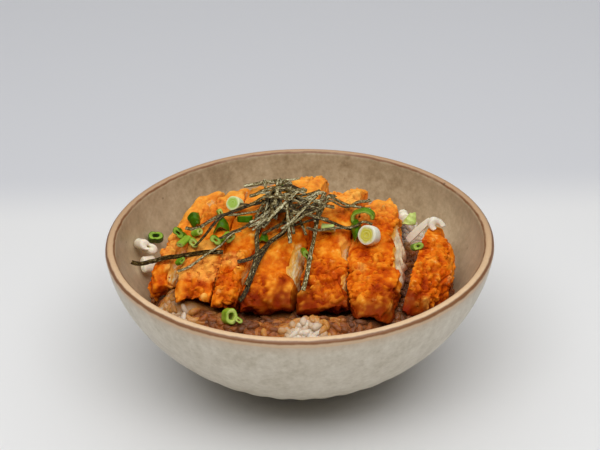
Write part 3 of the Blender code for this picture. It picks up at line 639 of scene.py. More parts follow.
class Finish(Nodes):
    """A material round one Principled shader."""

    def __init__(self, name):
        self.material = bpy.data.materials.new(name)
        self.material.use_nodes = True
        super().__init__(self.material.node_tree)
        self.shader = self.tree.nodes["Principled BSDF"]
        self.place = self.add("ShaderNodeTexCoord", output="Object")

    def set(self, **values):
        """Give the shader's sockets, named with underscores for spaces."""
        for name, value in values.items():
            self.give(self.shader.inputs[name.replace("_", " ")], value)

    def attribute(self, name):
        return self.add("ShaderNodeAttribute", {"attribute_name": name}, output="Fac")

    def blend(self, share, first, second):
        """Mix two colours, each a value or the three levels of a screen colour."""
        first, second = (shade if isinstance(shade, Value) else colour(*shade) for shade in (first, second))
        return self.add("ShaderNodeMix", {"data_type": "RGBA"}, {"Factor": share, "A": first, "B": second})

    def paint(self, base, *coats):
        """Lay coats on a base in turn, each a share and a colour."""
        for share, coat in coats:
            base = self.blend(share, base, coat)
        return base

    def shade(self, share, *stops):
        return self.add("ShaderNodeValToRGB", {"stops": stops}, {"Fac": share}, "Color")

    def relief(self, height, depth, under=None):
        """A bump of about the given real depth, over another one if given."""
        values = {"Height": height, "Strength": 1.0, "Distance": depth}
        if under is not None:
            values["Normal"] = under
        return self.add("ShaderNodeBump", values=values)


class Shape(Nodes):
    """A geometry tree with named inputs, which ends realized and painted."""

    def __init__(self, name, sizes, **others):
        """Sizes names the inputs for a number, and others gives each input's kind."""
        super().__init__(bpy.data.node_groups.new(name, "GeometryNodeTree"))
        kinds = {"Geometry": "Geometry", "Finish": "Material", **dict.fromkeys(sizes, "Float"), **others}
        for title, kind in kinds.items():
            self.tree.interface.new_socket(title, in_out="INPUT", socket_type="NodeSocket" + kind)
        self.tree.interface.new_socket("Geometry", in_out="OUTPUT", socket_type="NodeSocketGeometry")
        self.start = self.tree.nodes.new("NodeGroupInput")
        self.end = self.tree.nodes.new("NodeGroupOutput")
        self.place = self.add("GeometryNodeInputPosition")

    def given(self, name):
        return Value(self, socket_named(self.start.outputs, name))

    def read(self, name, kind="FLOAT"):
        return self.add("GeometryNodeInputNamedAttribute", {"data_type": kind}, {"Name": name}, "Attribute")

    def store(self, geometry, **values):
        """Keep each value as an attribute of the geometry's points."""
        settings = {"data_type": "FLOAT", "domain": "POINT"}
        for name, value in values.items():
            geometry = self.add("GeometryNodeStoreNamedAttribute", settings, {
                "Geometry": geometry, "Name": name, "Value": value})
        return geometry

    def pick(self, low, high, seed, kind="FLOAT"):
        """A random number or vector for each point."""
        return self.add("FunctionNodeRandomValue", {"data_type": kind},
                        {"Min": low, "Max": high, "Seed": seed})

    def move(self, geometry, offset):
        return self.add("GeometryNodeSetPosition", values={"Geometry": geometry, "Offset": offset})

    def join(self, *parts):
        joined = self.add("GeometryNodeJoinGeometry")
        for part in parts:
            self.tree.links.new(part.output, joined.output.node.inputs[0])
        return joined

    def scatter(self, surface, where, spacing, seed):
        """Points over a surface at least the spacing apart."""
        return self.add("GeometryNodeDistributePointsOnFaces", {"distribute_method": "POISSON"}, {
            "Mesh": surface, "Distance Min": spacing, "Density Max": DENSITY_MOST,
            "Density Factor": where, "Seed": seed}, "Points")

    def strew(self, pieces, points, upright, spin, size, seed):
        """One of a collection's pieces at each point, spun from its upright turn."""
        pieces = self.add("GeometryNodeCollectionInfo", values={
            "Collection": pieces, "Separate Children": True, "Reset Children": True})
        turn = self.add("FunctionNodeRotateRotation", {"rotation_space": "LOCAL"}, {
            "Rotation": upright, "Rotate By": spin})
        return self.add("GeometryNodeInstanceOnPoints", values={
            "Points": points, "Instance": pieces, "Pick Instance": True,
            "Instance Index": self.pick(0, STREWN_KINDS - 1, seed, "INT"), "Rotation": turn, "Scale": size})

    def finish(self, geometry):
        solid = self.add("GeometryNodeRealizeInstances", values={"Geometry": geometry})
        painted = self.add("GeometryNodeSetMaterial", values={
            "Geometry": solid, "Material": self.given("Finish")})
        self.give(self.end.inputs[0], painted)


def grow(item, shape, **values):
    """Run a geometry tree on an object and keep the plain mesh it gives."""
    modifier = item.modifiers.new("Shape", "NODES")
    modifier.node_group = shape.tree
    for socket in shape.tree.interface.items_tree:
        name = socket.name.replace(" ", "_")
        if socket.in_out == "INPUT" and name in values:
            modifier[socket.identifier] = values[name]
    keep_mesh(item)
    item.data.shade_smooth()


def keep_mesh(item):
    """Put the mesh that an object's modifiers give in the place of its own."""
    mesh = bpy.data.meshes.new_from_object(item.evaluated_get(bpy.context.evaluated_depsgraph_get()))
    item.modifiers.clear()
    item.data = mesh


# Meshes


def link(item):
    bpy.context.scene.collection.objects.link(item)
    return item


def add_numbers(mesh, attributes):
    """Give a mesh a number at each point for each attribute."""
    for title, numbers in attributes.items():
        layer = mesh.attributes.new(title, "FLOAT", "POINT")
        layer.data.foreach_set("value", np.asarray(numbers, np.float32))


def mesh_piece(name, points, faces, finish, **attributes):
    """An object from points and faces, with a number at each point for each attribute."""
    mesh = bpy.data.meshes.new(name)
    faces = faces.tolist() if isinstance(faces, np.ndarray) else faces
    mesh.from_pydata(np.asarray(points).tolist(), [], faces)
    add_numbers(mesh, attributes)
    mesh.materials.append(finish.material)
    mesh.shade_smooth()
    return link(bpy.data.objects.new(name, mesh))


def merge_points(item):
    shape = bmesh.new()
    shape.from_mesh(item.data)
    bmesh.ops.remove_doubles(shape, verts=shape.verts, dist=MERGE_DISTANCE)
    shape.to_mesh(item.data)
    shape.free()


def keep_kind(shape, name, kinds):
    """Put a small finished shape in a collection, to be strewn."""
    mesh = bpy.data.meshes.new(name)
    shape.to_mesh(mesh)
    shape.free()
    kinds.objects.link(bpy.data.objects.new(name, mesh))


def turned_points(section, segments, stretch=1.0):
    """An outline's points turned about the z axis, stretched by a share at each turn."""
    angles = np.arange(segments) * math.tau / segments
    radii, heights = np.array(section).T
    return np.stack([
        np.outer(np.cos(angles) * stretch, radii),
        np.outer(np.sin(angles) * stretch, radii),
        np.tile(heights, (segments, 1)),
    ], axis=-1).reshape(-1, 3)


def turned_faces(segments, count):
    """Quads round the z axis between turns of an outline with so many points."""
    index = np.arange(segments * count).reshape(segments, count)
    ahead = np.roll(index, -1, axis=0)
    return np.stack([index[:, :-1], index[:, 1:], ahead[:, 1:], ahead[:, :-1]], axis=-1).reshape(-1, 4)


def settle(item, node):
    """Hang a finished object under the root body and hide the CAD node's part that it stands in for."""
    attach(item, "root")
    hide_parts(node)
    return item


def bend(values, position):
    """The parabola through three values at positions -1, 0 and 1."""
    first, middle, last = values
    slope = (last - first) / 2
    curve = (last + first) / 2 - middle
    return middle + slope * position + curve * position * position


def bell(offset, spread):
    return np.exp(-offset * offset / (2 * spread * spread))


def soft_step(value, low, high):
    share = np.clip((value - low) / (high - low), 0, 1)
    return share * share * (3 - 2 * share)


def cloud(points, size, seed):
    """Smooth noise from about -1 to 1 at each point."""
    shift = Vector((seed, 0, 0))
    return np.array([noise.noise(Vector(point) / size + shift) for point in points])


def cloud_at(x, y, z, size, seed):
    return cloud(np.stack([x, y, z], axis=1), size, seed)


def world_tree(items):
    """A tree of all the faces of some objects, to look up what lies where."""
    corners, faces = [], []
    for item in items:
        start = len(corners)
        corners += [vertex.co.copy() for vertex in item.data.vertices]
        faces += [[start + corner for corner in face.vertices] for face in item.data.polygons]
    return BVHTree.FromPolygons(corners, faces)


def height_under(tree, x, y):
    hit = tree.ray_cast(Vector((x, y, DROP_HEIGHT)), Vector((0, 0, -1)))[0]
    return hit.z if hit is not None else 0.0


# Bowl


def outer_radius(height):
    share = ((RIM_HEIGHT - height) / BODY_DEPTH) ** BODY_DEPTH_POWER
    return RIM_RADIUS * (1 - share) ** (1 / BODY_RADIUS_POWER)


def inner_height(radius):
    share = np.minimum(1.0, radius / (RIM_RADIUS - WALL)) ** INNER_POWER
    return RIM_HEIGHT - INNER_DEPTH * (1 - share) ** (1 / INNER_POWER)


def ease_corners(points, ease):
    """Round the corners of an open outline with short parabolas."""
    eased = [points[0]]
    for corners in zip(points, points[1:], points[2:]):
        before, corner, after = (Vector(point) for point in corners)
        start = corner + (before - corner).normalized() * ease
        stop = corner + (after - corner).normalized() * ease
        for step in range(EASE_STEPS + 1):
            share = step / EASE_STEPS
            eased.append(tuple(start.lerp(corner, share).lerp(corner.lerp(stop, share), share)))
    eased.append(points[-1])
    return eased


def bowl_section():
    """The wall's outline from the middle of the inside to the middle of the foot."""
    inside_end = math.acos((LIP_RADIUS / INNER_DEPTH) ** (INNER_POWER / 2))
    section = []
    for step in range(INSIDE_STEPS):
        angle = inside_end * step / INSIDE_STEPS
        section.append((
            (RIM_RADIUS - WALL) * math.sin(angle) ** (2 / INNER_POWER),
            RIM_HEIGHT - INNER_DEPTH * math.cos(angle) ** (2 / INNER_POWER),
        ))
    for step in range(LIP_STEPS + 1):
        angle = math.pi * (1 - step / LIP_STEPS)
        section.append((
            RIM_RADIUS - LIP_RADIUS + LIP_RADIUS * math.cos(angle),
            RIM_HEIGHT - LIP_RADIUS + LIP_RADIUS * math.sin(angle),
        ))
    for step in range(1, OUTSIDE_STEPS + 1):
        share = math.sin(step / OUTSIDE_STEPS * math.pi / 2)
        height = RIM_HEIGHT - LIP_RADIUS - share * (RIM_HEIGHT - LIP_RADIUS - BODY_BOTTOM)
        section.append((outer_radius(height), height))
    foot_inside = FOOT_RADIUS - FOOT_WIDTH
    foot = [
        section[-1],
        (FOOT_RADIUS + FOOT_FLARE, FOOT_HEIGHT),
        (FOOT_RADIUS, 0.0),
        (foot_inside, 0.0),
        (foot_inside - FOOT_FLARE, FOOT_RECESS),
        (0.0, FOOT_RECESS),
    ]
    return section + ease_corners(foot, FOOT_EASE)[1:]


def from_crest(section):
    """Distance of each point along the outline from the rim's crest."""
    steps = np.linalg.norm(np.diff(np.array(section), axis=0), axis=1)
    along = np.concatenate(([0.0], np.cumsum(steps)))
    return along - along[INSIDE_STEPS + LIP_STEPS // 2]


def thrown_wall():
    """Shape tree: carve the flutes and give the wall a hand-thrown wobble."""
    shape = Shape("thrown wall", ("Flutes", "Flute Depth", "Flute Bottom", "Flute Top", "Wobble"))
    x, y, z = shape.split(shape.place)
    radius = (x * x + y * y) ** 0.5
    low, high = shape.given("Flute Bottom"), shape.given("Flute Top")
    rise = shape.maths("MINIMUM", shape.maths("MAXIMUM", (z - low) / (high - low), 0.0), 1.0)
    share = shape.maths("SINE", rise ** FLUTE_FADE * math.pi)
    wave = 0.5 - 0.5 * shape.maths("COSINE", shape.maths("ARCTAN2", y, x) * shape.given("Flutes"))
    outside = shape.read("from_crest") > FLUTES_FROM_CREST
    hollow = share * wave * outside
    carve = shape.given("Flute Depth") * hollow
    wobble = (shape.mottle(shape.place, WOBBLE_SIZE, 1.0) - 0.5) * shape.given("Wobble")
    scale = 1 - (carve - wobble) / shape.maths("MAXIMUM", radius, AXIS_GUARD)
    wall = shape.store(shape.given("Geometry"), hollow=hollow)
    shape.finish(shape.add("GeometryNodeSetPosition", values={
        "Geometry": wall, "Position": shape.combine(x * scale, y * scale, z)}))
    return shape


def make_bowl(finish):
    section = bowl_section()
    points = turned_points(section, BOWL_SEGMENTS)
    # The outline starts inside, so its quads are turned over to face outwards
    faces = turned_faces(BOWL_SEGMENTS, len(section))[:, (0, 3, 2, 1)]
    bowl = mesh_piece("bowl_stoneware", points, faces, finish,
                      from_crest=np.tile(from_crest(section), BOWL_SEGMENTS))
    merge_points(bowl)
    grow(bowl, thrown_wall(), Finish=finish.material, Flutes=float(FLUTE_COUNT), Flute_Depth=FLUTE_DEPTH,
         Flute_Bottom=FLUTE_BOTTOM, Flute_Top=FLUTE_TOP, Wobble=THROWING_WOBBLE)
    return settle(bowl, "bowl")


def stoneware():
    """Oatmeal glaze, browner inside, that breaks to a tan crest with dark lines."""
    finish = Finish("speckled stoneware")
    place = finish.place
    crest = finish.attribute("from_crest") + (finish.mottle(place, 0.006, 3.0) - 0.5) * 0.0012
    cloudy = finish.mottle(place, 0.014, 4.0, 0.6)
    fine = finish.mottle(place, 0.0022, 3.0, 0.6, 3.0)
    x, y, z = finish.split(place)
    streaks = finish.mottle(finish.combine(x, y, z * 0.25), 0.006, 3.0, 0.6, 7.0)
    # painted light: the inside is lighter towards its left and right sides
    painted_side_light = finish.step(abs(x), 0.045, 0.080)
    inside = finish.shade(cloudy * 0.4 + fine * 0.35 + streaks * 0.25,
                          (0.36, 144, 123, 90), (0.50, 180, 159, 126), (0.64, 206, 188, 155))
    inside = finish.blend(painted_side_light * 0.30, inside, (222, 200, 168))
    outside = finish.shade(cloudy * 0.3 + fine * 0.4 + streaks * 0.3,
                           (0.36, 190, 178, 154), (0.50, 211, 200, 180), (0.64, 226, 217, 199))
    outside = finish.paint(
        outside,
        (finish.step(finish.attribute("hollow"), 0.55, 0.95) * 0.55, (160, 148, 124)),
        # painted shade: the outside darkens towards the foot
        (finish.step(z, 0.046, 0.018) * 0.22, (150, 140, 116)),
    )
    # painted light: the crest is lighter towards the front of the bowl
    painted_front_light = finish.step(y, 0.045, -0.065)
    crown = finish.blend(fine * 0.6, finish.blend(painted_front_light, (182, 146, 112), (234, 202, 162)), (200, 156, 110))
    patchy = finish.step(finish.mottle(place, 0.009, 3.0, 0.6, 11.0), 0.25, 0.60)
    big_speck = finish.step(finish.cells(place, 0.019), 0.050, 0.028)
    speck = finish.step(finish.cells(place, 0.0075), 0.095, 0.055) * 0.5 + big_speck * 0.8
    speck = speck * finish.step(crest, 0.004, -0.002) * (finish.mottle(place, 0.012, 1.0, 0.5, 5.0) > 0.47)
    glaze = finish.paint(
        finish.blend(finish.step(crest, 0.000, 0.002), inside, outside),
        (finish.step(crest, 0.0100, 0.0030) * finish.step(crest, 0.0, 0.002) * 0.45, (190, 152, 114)),
        (finish.step(abs(crest), 0.0018, 0.0009), crown),
        (finish.step(abs(crest - OUTER_BAND), 0.0014, 0.0006) * 0.7, (216, 180, 140)),
        (finish.step(abs(crest - INNER_LINE), 0.0009, 0.0002) * (0.6 + patchy * 0.35), LINE_BROWN),
        (finish.step(abs(crest - OUTER_LINE), 0.0012, 0.0004) * 0.92, LINE_BROWN),
        (speck, (108, 78, 52)),
    )
    bumps = finish.relief(fine, 0.00012, finish.relief(cloudy, 0.0003))
    finish.set(Base_Color=glaze, Roughness=0.34 + fine * 0.22, Normal=bumps, Coat_Weight=0.12,
               Coat_Roughness=0.3)
    return finish


# Chicken slices


def block_surface(columns, rows, layers):
    """Places on a cube's surface from -1 to 1, and the quads between them."""
    counts = np.array((columns, rows, layers))
    outside = np.zeros(counts + 1, bool)
    outside[[0, -1]] = True
    outside[:, [0, -1]] = True
    outside[:, :, [0, -1]] = True
    lattice = np.argwhere(outside)
    index = np.zeros(outside.shape, int)
    index[outside] = np.arange(len(lattice))
    quads = []
    for axis in range(3):
        for side in (0, -1):
            sheet = np.take(index, side, axis=axis)
            faces = np.stack([sheet[:-1, :-1], sheet[1:, :-1], sheet[1:, 1:], sheet[:-1, 1:]], axis=-1)
            faces = faces.reshape(-1, 4)
            turned = (side == 0) != (axis == 1)
            quads.append(faces[:, ::-1] if turned else faces)
    return lattice / counts * 2 - 1, np.concatenate(quads)


def rounded(places, crust_side):
    """Round the block's ends, and its crust side too where it has one."""
    across, along, up = places.T
    wide = np.where(across * crust_side > 0, across, 0.0)
    tall = np.where(up > 0, up, up * UNDERSIDE_SHARE)
    reach = np.maximum(1e-9, np.maximum(abs(wide), np.maximum(abs(along), abs(tall))))
    total = sum((abs(value) / reach) ** SLICE_ROUNDNESS for value in (wide, along, tall))
    scale = np.maximum(1.0, total) ** (-1 / SLICE_ROUNDNESS)
    across = np.where(wide != 0, across * scale, across)
    return across, along * scale, np.where(up > 0, up * scale, up)


def bed_under(x, y):
    """The lowest that a slice may reach: the rice, or the bowl's wall."""
    return np.maximum(rice_height(x, y), inner_height(np.hypot(x, y))) + BED_GAP


def open_share(y, stretches):
    """1 along the given stretches of y and 0 elsewhere, with soft ends."""
    share = np.zeros_like(y)
    for start, stop in stretches:
        rise = soft_step(y, start - CUT_FADE / 2, start + CUT_FADE / 2)
        share = np.maximum(share, rise * (1 - soft_step(y, stop - CUT_FADE / 2, stop + CUT_FADE / 2)))
    return share


def slice_surface(part, seed):
    """Points and faces of a slice, with what its finish has to know of them."""
    length = part.back - part.front
    places, faces = block_surface(SLICE_COLUMNS, round(length / SLICE_PITCH), SLICE_LAYERS)
    across, along, up = rounded(places, part.crust_side)
    half_size = np.array((SLICE_HALF_WIDTH, length / 2, SLICE_HALF_HEIGHT))
    is_end, is_top = abs(places[:, 1]) > SIDE, places[:, 2] > SIDE
    is_crust = is_end | is_top | (places[:, 0] * part.crust_side > SIDE)
    swell = CRAG_HEIGHT * cloud(np.stack([across, along, up], axis=1) * half_size, CRAG_SIZE, seed)
    swell *= is_end | is_top
    y = (part.front + part.back) / 2 + along * (length / 2 + swell)
    left = bend(part.left, y / SEAM_REACH) + SEAM_GAP / 2
    right = bend(part.right, y / SEAM_REACH) - SEAM_GAP / 2
    share_up = (up + 1) / 2
    share_across = (across + 1) / 2
    opened = open_share(y, OPEN_CUTS[part.name])
    lean = part.lean * (CLOSED_LEAN + (1 - CLOSED_LEAN) * opened)
    taper = 1 - END_TAPER * abs(along) ** END_TAPER_POWER
    x = left + (right - left) * (0.5 + (share_across - 0.5) * taper) - lean * share_across * share_up
    x = x + SEAM_WANDER * cloud_at(x, y, SEAM_UPRIGHT * up * SLICE_HALF_HEIGHT, SEAM_WANDER_SIZE, 0.0)
    on_right = places[:, 0] > SIDE
    free = on_right if part.name == FREE_SIDE else np.zeros(len(x), bool)
    x = x + FREE_WANDER * free * cloud_at(x, y, up * SLICE_HALF_HEIGHT, FREE_WANDER_SIZE, FREE_SEED)
    top = RIM_HEIGHT + bend(part.tops, along) + SLICE_TILT * across
    bottom = bed_under(x, y) + UNDER_RISE * (1 + cloud_at(x, y, np.zeros_like(x), UNDER_SIZE, seed + 1))
    top = top - EDGE_EASE * abs(across) ** EDGE_EASE_POWER
    z = bottom + (top - bottom) * share_up + swell * share_up
    inwards = np.where(is_crust, 0.0, np.minimum(top - z, (1 - abs(along)) * length / 2))
    ragged = CUT_WANDER * cloud_at(x, y, z, CUT_WANDER_SIZE, CUT_SEED)
    cut = soft_step(inwards + ragged, *CRUST_DEPTHS) * on_right * opened
    proud = 1 - (1 - SIDE_RELIEF) * soft_step(inwards, 0.0, PROUD_EDGE) * ~free
    return np.stack([x, y, z], axis=1), faces, 1 - cut, proud, z - bottom, inwards


def end_slice_surface():
    """The same for the slice that lies apart, crumbed all round but inside."""
    places, faces = block_surface(*END_SLICE_GRID)
    across, along, up = rounded(places, 1)
    share_along, share_across, share_up = (along + 1) / 2, (across + 1) / 2, (up + 1) / 2
    line = END_SLICE_BACK - END_SLICE_FRONT
    chord = END_SLICE_FRONT + np.outer(share_along, line)
    length = np.linalg.norm(line)
    outward = np.array((line[1], -line[0])) / length
    bulge = END_SLICE_WIDTH * bend(END_SLICE_BULGE, along)
    half_size = np.array((END_SLICE_WIDTH / 2, length / 2, END_SLICE_THICKNESS / 2))
    is_crust = np.maximum(np.maximum(abs(places[:, 1]), abs(places[:, 2])), places[:, 0]) > SIDE
    swell = CRAG_HEIGHT * cloud(np.stack([across, along, up], axis=1) * half_size, CRAG_SIZE, END_SLICE_SEED)
    swell *= is_crust
    x, y = (chord + np.outer(bulge * share_across + swell * share_across, outward)).T
    top = RIM_HEIGHT + bend(END_SLICE_TOPS, along) - END_SLICE_OUTER_FALL * share_across ** 2
    bottom = np.maximum(top - END_SLICE_THICKNESS, bed_under(x, y))
    z = bottom + (top - bottom) * share_up + swell * share_up
    proud = np.where(is_crust, 1.0, SIDE_RELIEF)
    return np.stack([x, y, z], axis=1), faces, np.ones(len(x)), proud, z - bottom, np.zeros(len(x))


def crumb_crust_shape():
    """Shape tree: crags and crumbs on the crust, fibres on the cut faces."""
    shape = Shape("crumb crust", ("Crag Size", "Crag Height", "Crumb Size", "Crumb Height", "Fibre Height",
                                  "Flake Spacing", "Crease Depth"), Flakes="Collection", Seed="Int")
    place = shape.place
    seed = shape.given("Seed") * SLICE_SEED_STEP
    skin = shape.read("skin")
    rough = shape.step(shape.mottle(place, 0.011, 1.0, 0.5, seed) + shape.read("craggy") * 0.38, 0.46, 0.72)
    crag = shape.mottle(place, shape.given("Crag Size"), 2.5, 0.55, seed + 5)
    crumb = shape.add("ShaderNodeTexVoronoi", {"voronoi_dimensions": "4D", "feature": "SMOOTH_F1"}, {
        "Vector": place, "W": seed, "Scale": 1 / shape.given("Crumb Size"), "Smoothness": 0.9}, "Distance")
    bead = shape.step(crumb, 0.75, 0.15)
    x, y, z = shape.split(place)
    fibre = shape.mottle(shape.combine(x * 0.8, y * 0.30, z), 0.0012, 2.0, 0.6, seed + 9)
    fold = shape.mottle(place, 0.0060, 1.5, 0.5, seed + 13)
    crease = shape.step(abs(fold - 0.5), 0.06, 0.0) * shape.step(rough, 0.25, 0.9)
    lifted = (crag - 0.5) * 2 * shape.given("Crag Height") * (0.50 + rough * 0.9)
    beaded = (bead - 0.35) * shape.given("Crumb Height") * (0.30 + rough * 1.1)
    carved = crease * shape.given("Crease Depth")
    height = (lifted + beaded - carved) * skin * shape.read("proud")
    height = height + (fibre - 0.5) * shape.given("Fibre Height") * (1 - skin)
    normal = shape.add("GeometryNodeInputNormal")
    surface = shape.store(shape.given("Geometry"), crag=crag, rough=rough, bead=bead, crease=crease, tone=0.5)
    surface = shape.move(surface, shape.vector("SCALE", {0: normal, "Scale": height}))
    open_skin = skin * shape.read("shown") * shape.step(rough, 0.3, 1.0) * (1 - crease)
    points = shape.scatter(surface, open_skin, shape.given("Flake Spacing"), shape.given("Seed"))
    upright = shape.beside(points, "Rotation")
    points = shape.store(points, tone=shape.pick(0.0, 1.0, 7))
    spin = shape.pick((-FLAKE_TILT, -FLAKE_TILT, 0), (FLAKE_TILT, FLAKE_TILT, math.tau), 1, "FLOAT_VECTOR")
    flakes = shape.strew(shape.given("Flakes"), points, upright, spin, shape.pick(*FLAKE_SIZES, 3), 2)
    shape.finish(shape.join(surface, flakes))
    return shape


def flake_shapes():
    """Small crumbs to strew, each an uneven chip."""
    flakes = bpy.data.collections.new("crumb flakes")
    draw = random.Random(FLAKE_SEED)
    for index in range(STREWN_KINDS):
        shape = bmesh.new()
        bmesh.ops.create_icosphere(shape, subdivisions=2, radius=FLAKE_RADIUS)
        squash = Vector([draw.uniform(*shares) for shares in FLAKE_SQUASH])
        shift = Vector((index * FLAKE_SEED_STEP, 0, 0))
        for vertex in shape.verts:
            bulge = 1 + FLAKE_BULGE * noise.noise(vertex.co * FLAKE_WAVES + shift)
            vertex.co = Vector(a * b for a, b in zip(vertex.co, squash)) * bulge
        keep_kind(shape, f"crumb_{index}", flakes)
    return flakes


def near_spots(points, spots):
    return sum(bell(np.hypot(points[:, 0] - x, points[:, 1] - y), spread) for x, y, spread in spots)


def make_slices(finish):
    tree = crumb_crust_shape()
    flakes = flake_shapes()
    surfaces = {part.name: slice_surface(part, SLICE_SEED_STEP * index) for index, part in enumerate(SLICES)}
    surfaces["chicken_slice_7"] = end_slice_surface()
    slices = []
    for number, (name, surface) in enumerate(surfaces.items(), 1):
        points, faces, skin, proud, lift, inner = surface
        item = mesh_piece(name + "_crumbed", points, faces, finish, skin=skin, proud=proud, lift=lift / MM,
                          inner=inner / MM, shown=soft_step(lift, *SHOWN_LIFT) * proud,
                          craggy=near_spots(points, CRAG_SPOTS), sauce=near_spots(points, SAUCE_AND_SHADE_SPOTS),
                          pale=near_spots(points, PALE_AND_LIT_SPOTS))
        grow(item, tree, Finish=finish.material, Flakes=flakes, Seed=number, **CRUST_RELIEF)
        slices.append(settle(item, name))
    return slices


def crumb_crust():
    """Deep-fried crumb: golden on its peaks and rusty in its crags, partly its own browning and partly
    painted light and shade; darker below, from sauce and painted shade.
    """
    finish = Finish("fried crumb crust")
    place = finish.place
    skin, crag, bead, lift = (finish.attribute(name) for name in ("skin", "crag", "bead", "lift"))
    patches = finish.mottle(place, 0.010, 3.0, 0.55, 2.0)
    fine = finish.mottle(place, 0.0015, 3.0, 0.6, 4.0)
    x, y, z = finish.split(place)
    golden = finish.step(y, 0.002, 0.026)
    # paler crust, partly its own colour and partly painted light on shaded spots
    pale = finish.step(finish.attribute("pale") + (crag - 0.5) * 1.4 + (fine - 0.5) * 0.6, 0.35, 0.95)
    # partly painted light and shade: raised crags and beads are lighter and rough places darker, on top of
    # the crust's own patchy browning
    heat = patches * 0.50 + crag * 0.40 + bead * 0.14 + (finish.attribute("tone") - 0.5) * 0.10
    heat = heat + fine * 0.20 - finish.attribute("rough") * 0.04 + golden * 0.08 + pale * 0.06
    ragged = (patches - 0.5) * 10 + (crag - 0.5) * 12 + (bead - 0.5) * 4 + finish.step(x, -0.024, -0.044) * 3
    # sauce and painted shade: the crust darkens low down near the rice and at the darker spots
    sauce_and_shade = finish.step(lift + ragged - finish.attribute("sauce") * 7, 9.0, -1.0)
    # painted shade: contact darkening at the foot of each slice, where it meets the rice
    foot = finish.step(lift + (crag - 0.5) * 4 + (patches - 0.5) * 3, 2.8, 0.2)
    crust = finish.paint(
        finish.shade(heat, (0.40, 160, 46, 0), (0.51, 205, 84, 2), (0.61, 230, 120, 16),
                     (0.73, 246, 156, 44), (0.86, 252, 186, 84)),
        (finish.step(finish.cells(place, 0.0007), 0.35, 0.1) * 0.16, (255, 196, 70)),
        # painted highlight on the highest crags
        (finish.step(crag + fine * 0.6, 0.92, 1.08) * 0.3, (255, 206, 132)),
        (golden * 0.30, (255, 184, 84)),
        (pale * 0.45, (255, 192, 92)),
        # painted shade, with some real browning: the carved creases are darker
        (finish.attribute("crease") * 0.45, (136, 36, 0)),
        (sauce_and_shade * 0.84, (116, 24, 0)),
        (foot * 0.65, (92, 16, 0)),
    )
    fibre = finish.mottle(finish.combine(x, y * 0.3, z), 0.0016, 3.0, 0.6, 6.0)
    inner = finish.attribute("inner") + (fibre - 0.5) * 4
    meat = finish.paint(
        finish.shade(fibre, (0.34, 250, 170, 56), (0.46, 255, 212, 116), (0.60, 255, 242, 196)),
        (finish.step(x, 0.020, 0.040) * 0.6, (255, 246, 220)),
        (finish.step(inner, 5.5, 1.5), (250, 176, 66)),
        (finish.step(lift + (fibre - 0.5) * 7, 5.5, 0.5) * 0.85, (158, 74, 18)),
    )
    uneven = (fine - 0.5) * 0.5 + (finish.mottle(place, 0.0035, 2.0) - 0.5) * 0.6
    edge = finish.step(skin + uneven, 0.30, 0.70)
    soft = finish.mottle(place, 0.0016, 1.0, 0.4, 8.0)
    finish.set(Base_Color=finish.blend(edge, meat, crust), Roughness=0.42 + fine * 0.2,
               Normal=finish.relief(soft, 0.00030), Subsurface_Weight=0.06,
               Subsurface_Radius=(0.0025, 0.0010, 0.0002), Specular_IOR_Level=0.05)
    return finish


# Rice


def rice_height(x, y):
    """Height of the rice bed, a mound with a curved ridge along the front."""
    mound = RICE_TOP - RICE_FALL_X * x * x - RICE_FALL_Y * (y - RICE_TOP_Y) ** 2 + RICE_TILT * x
    from_front = np.degrees(np.arctan2(x, -y))
    across = bell(np.hypot(x, y) - RIDGE_RADIUS, RIDGE_WIDTH)
    ridge = RIDGE_HEIGHT * across * bell(from_front, RIDGE_ARC_DEG)
    clumps = sum(
        height * bell(np.hypot(x - clump_x, y - clump_y), spread)
        for clump_x, clump_y, height, spread in RICE_CLUMPS
    )
    return RIM_HEIGHT + mound + ridge + clumps


def rice_edge_radius(angles):
    """Radius at which the bed meets the wall, found by halving."""
    low, high = (np.full(len(angles), radius) for radius in RICE_EDGE_BETWEEN)
    for _ in range(HALVINGS):
        middle = (low + high) / 2
        inside = rice_height(middle * np.cos(angles), middle * np.sin(angles)) > inner_height(middle) + GAP
        low = np.where(inside, middle, low)
        high = np.where(inside, high, middle)
    return low


def soak_at(x, y):
    spots = sum(depth * bell(np.hypot(x - spot_x, y - spot_y), spread)
                for spot_x, spot_y, spread, depth in SOAKED_SPOTS)
    return SOAK_BACK + (SOAK_FRONT - SOAK_BACK) * soft_step(-y, *SOAK_STEP) + spots


def rice_core():
    """A solid bed, as its points, its faces and the number of points on top."""
    angles = np.arange(RICE_SEGMENTS) * math.tau / RICE_SEGMENTS
    shares = np.sin(np.arange(RICE_RINGS + 1) / RICE_RINGS * math.pi / 2)
    radii = np.outer(rice_edge_radius(angles) - GAP, shares)
    x = radii * np.cos(angles)[:, None]
    y = radii * np.sin(angles)[:, None]
    bottom = inner_height(radii) + GAP
    top = np.maximum(rice_height(x, y), bottom)
    points = np.concatenate([np.stack([x, y, level], axis=-1).reshape(-1, 3) for level in (top, bottom)])
    upper = turned_faces(RICE_SEGMENTS, RICE_RINGS + 1)
    edge = np.arange(1, RICE_SEGMENTS + 1) * (RICE_RINGS + 1) - 1
    ahead = np.roll(edge, -1)
    wall = np.stack([edge, edge + x.size, ahead + x.size, ahead], axis=-1)
    return points, np.concatenate([upper, upper[:, ::-1] + x.size, wall]), x.size


